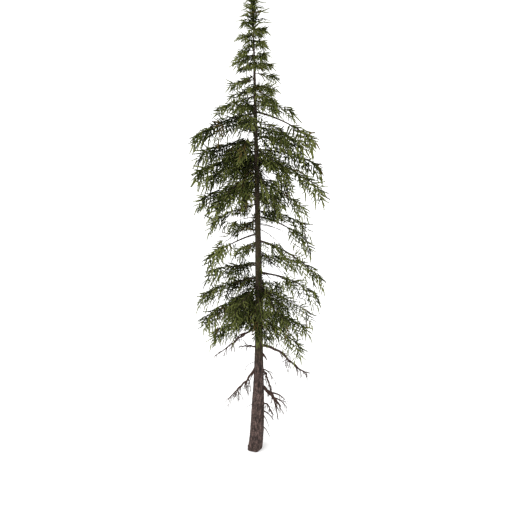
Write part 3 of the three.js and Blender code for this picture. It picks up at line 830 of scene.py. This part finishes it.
def add_shoots(base, way, length, tint, region, twig=-1):
    """Collects shoots, with the number of their twig or -1 if they stand on none."""
    labels = [np.broadcast_to(label, len(base)) for label in (tint, region, twig)]
    for parts, values in zip(shoots.values(), (base, way, length, *labels)):
        parts.append(values)


def add_spray(rng, root, middle, end, fan, pull, region, tint, scale):
    """A twig along a curve with shoots that spread to both sides of it, along fan, and give way to pull."""
    twigs["line"].append(curl(root, middle, end, np.linspace(0, 1, TWIG_POINTS)))
    size = np.linalg.norm(middle - root) + np.linalg.norm(end - middle)
    twigs["radius"].append(TWIG_RADIUS * (TWIG_RADIUS_BASE + size))
    count = max(SHOOTS_FEWEST, int(size / (SHOOT_STEP * max(scale, SPACING_LEAST[region]))))
    t = (np.arange(count) + 0.5 + SHOOT_STAGGER * rng.random(count)) / count
    base = curl(root, middle, end, t)
    along = unit(curl(root, middle, end, t + NUDGE) - curl(root, middle, end, t - NUDGE))
    across = unit(np.cross(along, np.cross(fan, along)))
    angle = np.radians(rng.uniform(*SHOOT_ANGLES, count))[:, None]
    side = np.where(np.arange(count) % 2, 1.0, -1.0)[:, None]
    way = along * np.cos(angle) + across * side * np.sin(angle)
    way = unit(way + pull - rng.uniform(*SHOOT_DROOPS, count)[:, None] * UP)
    length = scale * rng.uniform(*SHOOT_LENGTHS, count) * (1 - SHOOT_NARROWING * t)
    base = np.vstack([base, end])
    way = np.vstack([way, along[-1]])
    length = np.append(length, scale * SHOOT_LENGTHS[0])
    fresher = np.where((np.append(t, 1) > FRESH_FROM) & (tint < FRESH), tint + 1, tint)
    add_shoots(base, way, length, fresher, region, len(twigs["line"]) - 1)


print("fewest shoots in a spray", SHOOTS_FEWEST + 1)

# %% [markdown]
# ## How a bough is dressed
# The part of a bough that bears needles starts at the trunk's bark or at the end of its bare limb, and stops
# short of the tip, which the last shoots reach. Sprays are set along it at staggered places. Towards the tip
# their shoots are stouter and lighter and hang more, as young growth does.

# %% How a bough is dressed
TRUNK_ROOM = 0.05
TIP_ROOM = 0.13
LAST_LEAST = 0.2
LEFT_FULLER = (0.18, 0.18, 0.18, 0.26, 0.26)
OPENNESS = (0.86, 0.8, 0.95, 0.81, 0.65)
STOUTNESS = (0.86, 1.36)
SHOOT_PULLS = (0.05, 0.26)
HANGS = (0.5, 0.9, 0.95, 1, 1.1)
LIGHTER = (1.2, 0, 0.05, 0.1, 0.1)
# Painted light: sprays on the right of the crown get lighter tints, for the sky light that falls through the
# sparser right side.
RIGHT_SIDE_PAINTED_LIGHT = 0.7


def needled_part(bough, region):
    """Where a bough's needles start and end, and the length that its sprays are counted on."""
    clear = (float(trunk_radius(bough.height)) + TRUNK_ROOM) / bough.reach
    first = max(bough.bare, clear)
    last = max(first + LAST_LEAST, 1 - TIP_ROOM / bough.reach)
    fuller = 1 - LEFT_FULLER[region] * bough.out[0]
    return first, last, (last - first) * bough.reach * fuller / OPENNESS[region]


def stations(bough, rng, first, last, count):
    """Staggered places: number, share of the needled part, share of the reach, point and way."""
    for k in range(count):
        share = (k + STAGGER * rng.random()) / count
        t = between((first, last), share)
        yield k, share, t, bough.at(t), bough.ahead(t)


def set_spray(bough, rng, region, scale, t, curve, fan):
    """Sets a spray on a bough, at the share t of its reach."""
    pull = between(SHOOT_PULLS, t) * (bough.out - HANGS[region] * UP)
    # The region's lighter share plus painted light on the right side of the crown, where sky light falls
    # through the sparser boughs.
    lighter_with_painted_light = LIGHTER[region] + RIGHT_SIDE_PAINTED_LIGHT * max(0, bough.out[0])
    tint = tint_of(rng, t + lighter_with_painted_light)
    add_spray(rng, *curve, fan, pull, region, tint, scale * between(STOUTNESS, t))


print("needled part of the first bough", [round(float(v), 2) for v in needled_part(boughs[0][1], 0)])

# %% [markdown]
# ## Sprays on the boughs
# Along a bough stand side sprays, which spread and droop, and under it hang others, like a fringe. Single
# shoots cover the limb between them. Each kind is dealt out by its own rule, since a copied spray would show
# the same form again and again. Every bough draws from a seed of its own, so the tree comes out the same.

# %% Sprays on the boughs
SPRAY_STEP = 0.17
SPRAYS_FEWEST = 5
SPRAY_SHARE = 0.5
SPRAY_NARROWING = 0.6
SPRAY_SIZES = (0.8, 1.1)
SPRAY_LIMITS = (0.18, 0.95)
SPRAY_ANGLES = (38, 70)
SPRAY_AHEAD = (0.5, 0.85)
SPRAY_LIFT = 0.1
SPRAY_DROOPS = (0.1, 0.45)
SPRAY_DROOP_AHEAD = 0.35
SPRAY_TWIST = 0.6
FRINGE_STEP = 0.145
FRINGE_FEWEST = 3
FRINGE_LANCE = 0.48
FRINGE_LIMITS = (0.22, 0.68)
FRINGE_NARROWING = 0.4
FRINGE_SIZES = (0.75, 1.05)
FRINGE_ANGLE = 55
FRINGE_SWINGS = (-18, 12)
FRINGE_ASIDES = (-0.35, 0.35)
FRINGE_BEND = 0.5
LIMB_SHOOT_STEP = 0.07
LIMB_SHOOTS_FEWEST = 8
LIMB_SHOOT_LENGTHS = (0.12, 0.22)
LIMB_SHOOT_ANGLES = (22, 55)
LIMB_SHOOT_SETS = 2
LIMB_SHOOT_TINT = 0.5
LANCE_SCALES = (1, 1, 0.93, 0.86, 0.92)
SCALE_BASE, SCALE_PER_REACH = 0.55, 0.27


def add_side_sprays(bough, rng, region, scale, first, last, run):
    count = max(SPRAYS_FEWEST, int(run / SPRAY_STEP))
    for k, share, t, root, ahead in stations(bough, rng, first, last, count):
        side = np.cross(UP, ahead) * (1 if k % 2 else -1)
        angle = math.radians(rng.uniform(*SPRAY_ANGLES))
        heading = ahead * math.cos(angle) + side * math.sin(angle)
        wanted = SPRAY_SHARE * bough.reach * (1 - SPRAY_NARROWING * share) * rng.uniform(*SPRAY_SIZES)
        size = np.clip(wanted, *SPRAY_LIMITS)
        middle = root + SPRAY_AHEAD[0] * size * heading + SPRAY_LIFT * size * UP
        droop = rng.uniform(*SPRAY_DROOPS) + SPRAY_DROOP_AHEAD * t
        end = root + SPRAY_AHEAD[1] * size * heading - HANGS[region] * droop * size * UP
        fan = np.cross(UP, heading) + SPRAY_TWIST * rng.normal(size=3)
        set_spray(bough, rng, region, scale, t, (root, middle, end), fan)


def add_fringe(bough, rng, region, scale, first, last, run):
    lance = np.clip(FRINGE_LANCE * bough.reach, *FRINGE_LIMITS)
    count = max(FRINGE_FEWEST, int(run / FRINGE_STEP))
    for _, share, t, root, ahead in stations(bough, rng, first, last, count):
        angle = math.radians(HANGS[region] * (FRINGE_ANGLE + rng.uniform(*FRINGE_SWINGS)))
        heading = ahead * math.cos(angle) - UP * math.sin(angle)
        heading = unit(heading + rng.uniform(*FRINGE_ASIDES) * np.cross(UP, ahead))
        size = lance * (1 - FRINGE_NARROWING * share) * rng.uniform(*FRINGE_SIZES)
        middle = root + FRINGE_BEND * size * unit(heading + FRINGE_BEND * ahead)
        set_spray(bough, rng, region, scale, t, (root, middle, root + size * heading), rng.normal(size=3))


def add_limb_shoots(bough, rng, region, scale, first, last, run):
    count = max(LIMB_SHOOTS_FEWEST, int(run / LIMB_SHOOT_STEP))
    t = between((first, last), (np.arange(count) + rng.random(count)) / count)
    along = bough.ahead(t)
    side = unit(np.cross(UP, along))
    turn = 2 * np.pi * rng.random(count)[:, None]
    angle = np.radians(rng.uniform(*LIMB_SHOOT_ANGLES, count))[:, None]
    radial = side * np.cos(turn) + np.cross(along, side) * np.sin(turn)
    way = along * np.cos(angle) + radial * np.sin(angle)
    length = scale * rng.uniform(*LIMB_SHOOT_LENGTHS, count)
    for part in range(LIMB_SHOOT_SETS):
        mine = slice(part, None, LIMB_SHOOT_SETS)
        add_shoots(bough.at(t[mine]), way[mine], length[mine], tint_of(rng, LIMB_SHOOT_TINT), region)


for index, (region, bough) in enumerate(boughs):
    scale = LANCE_SCALES[region] * min(1.0, SCALE_BASE + SCALE_PER_REACH * bough.reach)
    rng = np.random.default_rng(LIVE_SEED + index)
    part = needled_part(bough, region)
    for add_kind in (add_side_sprays, add_fringe, add_limb_shoots):
        add_kind(bough, rng, region, scale, *part)
print("shoots on the boughs", sum(len(part) for part in shoots["base"]))

# %% [markdown]
# ## The leader
# Round the stem's tip stand short rising sprays, each turned a golden angle from the one below, which is how
# shoots are set on a growing stem. They get shorter and slimmer upwards, so the leader narrows to a point.
# Single shoots stand between them, and a few upright ones end the tip.

# %% The leader
LEADER_SPRAYS = 32
LEADER_LOW = 0.2
LEADER_SPRAY_LENGTH = 0.34
LEADER_SPRAY_SIZES = (0.5, 1)
LEADER_RISE = 0.5
LEADER_RISES = (0.2, 1.5)
LEADER_ARCH = 0.06
LEADER_NARROWING = 0.85
LEADER_SCALE = 0.88
LEADER_SLIMMING = 0.6
LEADER_PULL = 0.2
LEADER_TINT = 2
LEADER_SHOOTS = 70
LEADER_SHOOT_LOW, LEADER_SHOOT_MORE = 0.3, 0.12
LEADER_SHOOT_RISE = 0.7
LEADER_SHOOT_LENGTHS = (0.2, 0.14)
LEADER_TIPS = 6
LEADER_TIP_LENGTH = 0.24
LEADER_TIP_LEAN = 0.3
LEADER_TIP_STEP = 0.04
LEADER_TIP_PAST = 0.04
GREEN = 1
TOP = 0

rng = np.random.default_rng(LIVE_SEED + len(boughs))
for k in range(LEADER_SPRAYS):
    turn = math.radians(GOLDEN_TURN * k)
    t = (k + 0.5) / (LEADER_SPRAYS + 1)
    root = on_axis(TRUNK_TOP - LEADER_LOW + t * (HEIGHT - TRUNK_TOP + LEADER_LOW))
    heading = np.array([math.cos(turn), math.sin(turn), LEADER_RISE * rng.uniform(*LEADER_RISES)])
    size = LEADER_SPRAY_LENGTH * (1 - LEADER_NARROWING * t**2) * rng.uniform(*LEADER_SPRAY_SIZES)
    end = root + size * heading
    middle = 0.5 * (root + end) + LEADER_ARCH * UP
    tint = tint_of(rng, LEADER_TINT)
    scale = LEADER_SCALE * (1 - LEADER_SLIMMING * t**3)
    add_spray(rng, root, middle, end, np.cross(UP, heading), LEADER_PULL * UP, TOP, tint, scale)

t = (np.arange(LEADER_SHOOTS) + 0.5) / LEADER_SHOOTS
base = on_axis(TRUNK_TOP - LEADER_SHOOT_LOW + t * (HEIGHT - TRUNK_TOP + LEADER_SHOOT_MORE))
turn = math.radians(GOLDEN_TURN) * np.arange(LEADER_SHOOTS)
way = unit(np.stack([np.cos(turn), np.sin(turn), LEADER_SHOOT_RISE + t], -1))
add_shoots(base, way, between(LEADER_SHOOT_LENGTHS, t), GREEN, TOP)

step = np.arange(LEADER_TIPS)
base = on_axis(HEIGHT + LEADER_TIP_PAST - LEADER_TIP_LENGTH - LEADER_TIP_STEP * step)
lean = LEADER_TIP_LEAN * np.minimum(step, 1)
turn = math.radians(GOLDEN_TURN) * step
way = unit(np.stack([lean * np.cos(turn), lean * np.sin(turn), np.ones(LEADER_TIPS)], -1))
add_shoots(base, way, np.full(LEADER_TIPS, LEADER_TIP_LENGTH), GREEN, TOP)
shoots = {name: np.concatenate(parts) for name, parts in shoots.items()}
print("shoots in all", len(shoots["base"]))

# %% [markdown]
# ## Where the crown is open
# The trunk shows through almost the whole crown. So some of the shoots that hang in front of it are left out
# by chance, and most of them between two heights where it shows bare. The openings of sky beside the trunk
# are cleared too, and shoots that would reach past the solids' box are dropped. A twig that keeps too few
# shoots goes with them. Leaving out by rule keeps the rest of the crown as it grew.

# %% Where the crown is open
# Openings beside the trunk: left, right, low and high, in the upright plane through the trunk's axis.
SKY = [
    (0.21, 1.05, 7.8, 8.48), (0.23, 0.65, 9.78, 10.09), (-0.38, -0.03, 10.99, 11.29),
    (-0.85, -0.04, 8.45, 8.7), (-0.99, -0.07, 7.72, 8.0), (0.24, 0.95, 6.45, 6.98),
    (-0.5, -0.04, 7.8, 8.2), (-0.5, -0.06, 4.0, 4.7),
]
BARED = (7.6, 10.8)
BARED_SHARE, VEILED_SHARE = 0.75, 0.2
TRUNK_MARGIN = 0.03
BOX_MARGIN = 0.03
CHANCE_SEED = 7
TWIG_SHOOTS_LEAST = 2
eye = np.array(CAMERA_PLACE)


def beside_trunk(places):
    """Where the line of sight through each place meets the upright plane through the trunk's axis."""
    share = eye[1] / (eye[1] - places[:, 1])
    return eye + (places - eye) * share[:, None]


tips = shoots["base"] + shoots["way"] * shoots["length"][:, None]
seen = beside_trunk(0.5 * (shoots["base"] + tips))
across, height = seen[:, 0], seen[:, 2]
chance = np.random.default_rng(CHANCE_SEED).random(len(tips))
before = (tips[:, 1] < 0) & (np.abs(across - trunk_axis(height)) < trunk_radius(height) + TRUNK_MARGIN)
left_out = np.where((height > BARED[0]) & (height < BARED[1]), BARED_SHARE, VEILED_SHARE)
inside = np.all((tips > LOW - BOX_MARGIN) & (tips < HIGH + BOX_MARGIN), axis=1)
keep = inside & ~(before & (chance < left_out))
for left, right, low, high in SKY:
    keep &= ~((across > left) & (across < right) & (height > low) & (height < high))
on_twig = shoots["twig"] >= 0
shoots_left = np.bincount(shoots["twig"][on_twig & keep], minlength=len(twigs["line"]))
dressed = shoots_left > TWIG_SHOOTS_LEAST
keep &= ~on_twig | dressed[shoots["twig"]]
shoots = {name: values[keep] for name, values in shoots.items()}
twigs = {name: np.array(values)[dressed] for name, values in twigs.items()}
print("left out", int((~keep).sum()), "kept", int(keep.sum()))

# %% [markdown]
# ## A shoot's needles
# A shoot is a slim green core with needles all round it that lean towards its tip. Each needle is a flat kite
# of one four-cornered face, and the core is a spindle with three sides. Hair particles could make needles
# too, but a mesh keeps each of them in place in every tool.

# %% A shoot's needles
NEEDLES_PER_SHOOT = 24
LANCE_LENGTH = 0.25
GIRTH_POWER = 1.1
NEEDLE_LENGTH = 0.056
NEEDLE_HALF_WIDTH = 0.0145
NEEDLE_FIRST = 0.3
NEEDLE_SHORTENING = 0.25
NEEDLE_SIZES = (0.85, 1.15)
NEEDLE_LEANS = (34, 16)
NEEDLE_BELLY = 0.42
CORE_RADIUS = 0.025
CORE_BELLY = 0.3
CORE_TURNS = (0, 2.094, 4.189)
UPRIGHT_FROM = 0.9


def across_of(way):
    """Two directions across each way."""
    helper = np.where(np.abs(way[:, 2:]) > UPRIGHT_FROM, np.array([[1.0, 0, 0]]), UP[None])
    side = unit(np.cross(helper, way))
    return side, np.cross(way, side)


def girth_of(length):
    """How stout a shoot is beside one of the usual length."""
    return (length / LANCE_LENGTH) ** GIRTH_POWER


def needle_arrays(base, way, length, rng):
    """The four corners of every needle."""
    side, over = across_of(way)
    along = (np.arange(NEEDLES_PER_SHOOT) + NEEDLE_FIRST) / NEEDLES_PER_SHOOT
    turn = math.radians(GOLDEN_TURN) * np.arange(NEEDLES_PER_SHOOT) + 2 * np.pi * rng.random((len(base), 1))
    radial = side[:, None] * np.cos(turn)[..., None] + over[:, None] * np.sin(turn)[..., None]
    root = base[:, None] + way[:, None] * (along * length[:, None])[..., None]
    lean = np.radians(between(NEEDLE_LEANS, along))[:, None]
    pointing = way[:, None] * np.cos(lean) + radial * np.sin(lean)
    size = NEEDLE_LENGTH * (1 - NEEDLE_SHORTENING * along)
    size = size * rng.uniform(*NEEDLE_SIZES, (len(base), NEEDLES_PER_SHOOT))
    girth = girth_of(length)[:, None]
    reach = pointing * (girth * size)[..., None]
    width = NEEDLE_HALF_WIDTH * girth[..., None] * np.cross(way[:, None], radial)
    belly = root + NEEDLE_BELLY * reach
    return np.stack([root, belly + width, root + reach, belly - width], axis=2).reshape(-1, 3)


def core_arrays(base, way, length):
    """The foot, the three corners of the belly and the tip of every core."""
    side, over = across_of(way)
    belly = base + CORE_BELLY * way * length[:, None]
    girth = CORE_RADIUS * girth_of(length)[:, None]
    rim = [belly + girth * (side * math.cos(a) + over * math.sin(a)) for a in CORE_TURNS]
    return np.stack([base, *rim, base + way * length[:, None]], axis=1).reshape(-1, 3)


print("needles on all shoots", NEEDLES_PER_SHOOT * len(shoots["base"]))

# %% [markdown]
# ## Needle pieces
# The arrays of all shoots of one tint and one region of the crown are turned into one joined mesh. Single
# objects would be slow to draw, and one mesh for the whole crown would be too large to handle.

# %% Needle pieces
NEEDLE_SEED = 50
SEEDS_PER_REGION = 10
NEEDLE_CORNERS = 4
CORE_CORNERS = 5
CORE_TRIANGLES = np.array([0, 2, 1, 0, 3, 2, 0, 1, 3, 4, 1, 2, 4, 2, 3, 4, 3, 1])


def mesh_of(name, places, corners, sizes):
    """A mesh object from points, the corners of its faces in a row, and the number of each face's corners."""
    mesh = bpy.data.meshes.new(name)
    mesh.vertices.add(len(places))
    mesh.vertices.foreach_set("co", np.ascontiguousarray(places, np.float32).ravel())
    mesh.loops.add(len(corners))
    mesh.loops.foreach_set("vertex_index", np.ascontiguousarray(corners, np.int32))
    mesh.polygons.add(len(sizes))
    mesh.polygons.foreach_set("loop_start", (np.cumsum(sizes) - sizes).astype(np.int32))
    mesh.update(calc_edges=True)
    piece = bpy.data.objects.new(name, mesh)
    bpy.context.collection.objects.link(piece)
    return piece


def needle_piece(name, base, way, length, rng):
    blades = needle_arrays(base, way, length, rng)
    cores = core_arrays(base, way, length)
    first_corners = len(blades) + CORE_CORNERS * np.arange(len(base))[:, None]
    corners = np.concatenate([np.arange(len(blades)), (first_corners + CORE_TRIANGLES).ravel()])
    blade_sizes = np.full(len(blades) // NEEDLE_CORNERS, NEEDLE_CORNERS)
    core_sizes = np.full(len(CORE_TRIANGLES) // 3 * len(base), 3)
    return mesh_of(name, np.vstack([blades, cores]), corners, np.concatenate([blade_sizes, core_sizes]))


needle_pieces = {}
for region, region_name in enumerate(REGIONS):
    for tint, tint_name in enumerate(TINTS):
        mine = (shoots["region"] == region) & (shoots["tint"] == tint)
        parts = [shoots[name][mine] for name in ("base", "way", "length")]
        name = f"needles_{region_name}_{tint_name}"
        rng = np.random.default_rng(NEEDLE_SEED + SEEDS_PER_REGION * region + tint)
        needle_pieces[name] = needle_piece(name, *parts, rng)
triangles = [len(piece.data.loops) - 2 * len(piece.data.polygons) for piece in needle_pieces.values()]
print("needle pieces", len(triangles), "triangles", sum(triangles), "most", max(triangles))

# %% [markdown]
# ## Twigs in the sprays
# The thin twigs that carry the shoots show where needles are sparse. Three-sided tapering tubes are enough at
# this girth, and they are joined like the needles.

# %% Twigs in the sprays
TWIG_SIDES = 3
TWIG_TIP = 0.15


def twig_arrays(lines, radii):
    """Closed three-sided tubes along lines, with a narrow end."""
    count, points = lines.shape[:2]
    way = unit(np.gradient(lines, axis=1)).reshape(-1, 3)
    side, over = (part.reshape(count, points, 3) for part in across_of(way))
    girth = radii[:, None] * np.linspace(1, TWIG_TIP, points)
    rings = []
    for corner in range(TWIG_SIDES):
        turn = 2 * math.pi * corner / TWIG_SIDES
        rings.append(lines + girth[..., None] * (math.cos(turn) * side + math.sin(turn) * over))
    places = np.stack(rings, axis=2).reshape(-1, 3)
    quads = []
    for step in range(points - 1):
        for corner in range(TWIG_SIDES):
            after = (corner + 1) % TWIG_SIDES
            low, high = step * TWIG_SIDES, (step + 1) * TWIG_SIDES
            quads += [low + corner, low + after, high + after, high + corner]
    last = (points - 1) * TWIG_SIDES
    ends = [0, 2, 1, last, last + 1, last + 2]
    start = points * TWIG_SIDES * np.arange(count)[:, None]
    corners = np.concatenate([(start + np.array(quads)).ravel(), (start + np.array(ends)).ravel()])
    sizes = np.concatenate([np.full(count * len(quads) // 4, 4), np.full(count * 2, TWIG_SIDES)])
    return places, corners, sizes


spray_twigs = mesh_of("spray_twigs", *twig_arrays(twigs["line"], twigs["radius"]))
print("twigs", len(twigs["line"]), "faces", len(spray_twigs.data.polygons))

# %% [markdown]
# ## Bark
# Old spruce bark is grey-brown, with lighter flakes and dark cracks drawn out along the stem. In the shade of
# the crown it is darker, and a green film of algae and moss covers it. All of this follows the height and
# noise on the object, so it stays in place from every side.

# %% Bark
BARK_DARK = colour(32, 23, 21)
BARK_LIGHT = colour(118, 96, 91)
BARK_CRACK = colour(16, 11, 10)
MOSS = colour(58, 54, 28)
BARK_ROUGHNESS = 0.95
FLAKE_STRETCH, STREAK_STRETCH = 0.4, 0.25
FLAKE_WANDER = (0.07, 0.07, 0.07)
CRACK_DEPTH = 0.8
SHADE_DEPTH = 0.45
MOSS_DEPTH = 0.8

bark, wires, shader = new_material("trunk_bark", BARK_ROUGHNESS)
place = place_on_object(wires)
height = wires.node("ShaderNodeSeparateXYZ", None, {0: place}, "Z")
streaks = noise(drawn_out(place, STREAK_STRETCH), 17, 6, Roughness=0.65)
brown = streaks.ramp((0.38, 0), (0.62, 1)).mix(BARK_DARK, BARK_LIGHT)
wander = {0: noise(place, 14, 4, "Color"), 1: FLAKE_WANDER, 2: drawn_out(place, FLAKE_STRETCH)}
wandering = wires.node("ShaderNodeVectorMath", {"operation": "MULTIPLY_ADD"}, wander)
edges = {"Vector": wandering, "Scale": 22}
flakes = wires.node("ShaderNodeTexVoronoi", {"feature": "DISTANCE_TO_EDGE"}, edges)
cracks = flakes.ramp((0.0, 1), (0.07, 0.7), (0.16, 0)) * CRACK_DEPTH
cracked = cracks.mix(brown, BARK_CRACK)
shaded = (height.smooth(2.2, 4.2) * SHADE_DEPTH).mix(cracked, BARK_DARK)
patches = noise(place, 2.2, 4).ramp((0.35, 0.45), (0.65, 1))
damp = height.smooth(3.3, 4.7, 0.1, 1) * height.smooth(8.0, 12.5, 1, 0.35) * patches
feed(shader, "Base Color", (damp * MOSS_DEPTH).mix(shaded, MOSS))
feed_bump(shader, streaks - cracks, 0.8, 0.015)
trunk.data.materials.append(bark)
print("bark", bark.name)

# %% [markdown]
# ## Limb wood
# Live limbs and twigs are darker than the trunk. Dead limbs are dry and a little redder and lighter. One
# function mixes two browns by a fine noise for all three, because they differ only in tone and grain.

# %% Limb wood
LIMB_WOOD_ROUGHNESS = 0.9


def limb_material(name, dark, light, scale):
    material, wires, shader = new_material(name, LIMB_WOOD_ROUGHNESS)
    grain = noise(place_on_object(wires), scale, 5)
    feed(shader, "Base Color", grain.ramp((0.35, 0), (0.65, 1)).mix(dark, light))
    feed_bump(shader, grain, 0.5, 0.004)
    return material


live_limbs.data.materials.append(limb_material("limb_bark", colour(36, 28, 24), colour(70, 56, 48), 40))
spray_twigs.data.materials.append(limb_material("twig_bark", colour(36, 28, 22), colour(62, 50, 38), 30))
dead_limbs.data.materials.append(limb_material("dead_bark", colour(38, 26, 22), colour(78, 58, 50), 45))
print("limb wood done")

# %% [markdown]
# ## Needle tints
# Needles are dull and dark. The tints are dealt out by spray, so each material stays a plain colour, with
# only a faint change from patch to patch.

# %% Needle tints
NEEDLE_ROUGHNESS = 0.6
NEEDLE_SHEEN = 0.09
TINT_COLOURS = {
    "deep": (colour(25, 30, 10), colour(34, 40, 14)),
    "green": (colour(51, 58, 22), colour(65, 73, 30)),
    "fresh": (colour(93, 101, 50), colour(116, 121, 67)),
    "brown": (colour(80, 68, 34), colour(97, 82, 43)),
}
for tint_name, (first, second) in TINT_COLOURS.items():
    material, wires, shader = new_material("needles_" + tint_name, NEEDLE_ROUGHNESS, NEEDLE_SHEEN)
    patch = noise(place_on_object(wires), 5, 2)
    feed(shader, "Base Color", patch.ramp((0.4, 0), (0.6, 1)).mix(first, second))
    for name, piece in needle_pieces.items():
        if name.endswith(tint_name):
            piece.data.materials.append(material)
print("tints", list(TINT_COLOURS))

# %% [markdown]
# ## Join the pieces to the imported tree
# The tree has no joints, so every piece rides on its one body. The imported solids that the pieces stand for
# are hidden:
# the trunk, the limbs and all masses of foliage, and for each needle piece the masses in its region once
# more.

# %% Join the pieces to the imported tree
nodes = sorted(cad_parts)
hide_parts("trunk")
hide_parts(*[node for node in nodes if node.startswith("bough_")])
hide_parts(*[node for node in nodes if node.startswith("dead_bough_")])
masses = [node for node in nodes if node.startswith("foliage_") and node != "foliage_leader"]
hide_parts(*masses, "foliage_leader")
for name, piece in needle_pieces.items():
    region = REGIONS.index(name.split("_")[1])
    first = REGION_ENDS[region - 1] if region else 0
    mine = masses[first : REGION_ENDS[region]]
    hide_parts(*mine, *(["foliage_leader"] if region == 0 else []))
pieces = (trunk, live_limbs, dead_limbs, spray_twigs, *needle_pieces.values())
for piece in pieces:
    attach(piece, "root")
print("pieces", len(pieces))
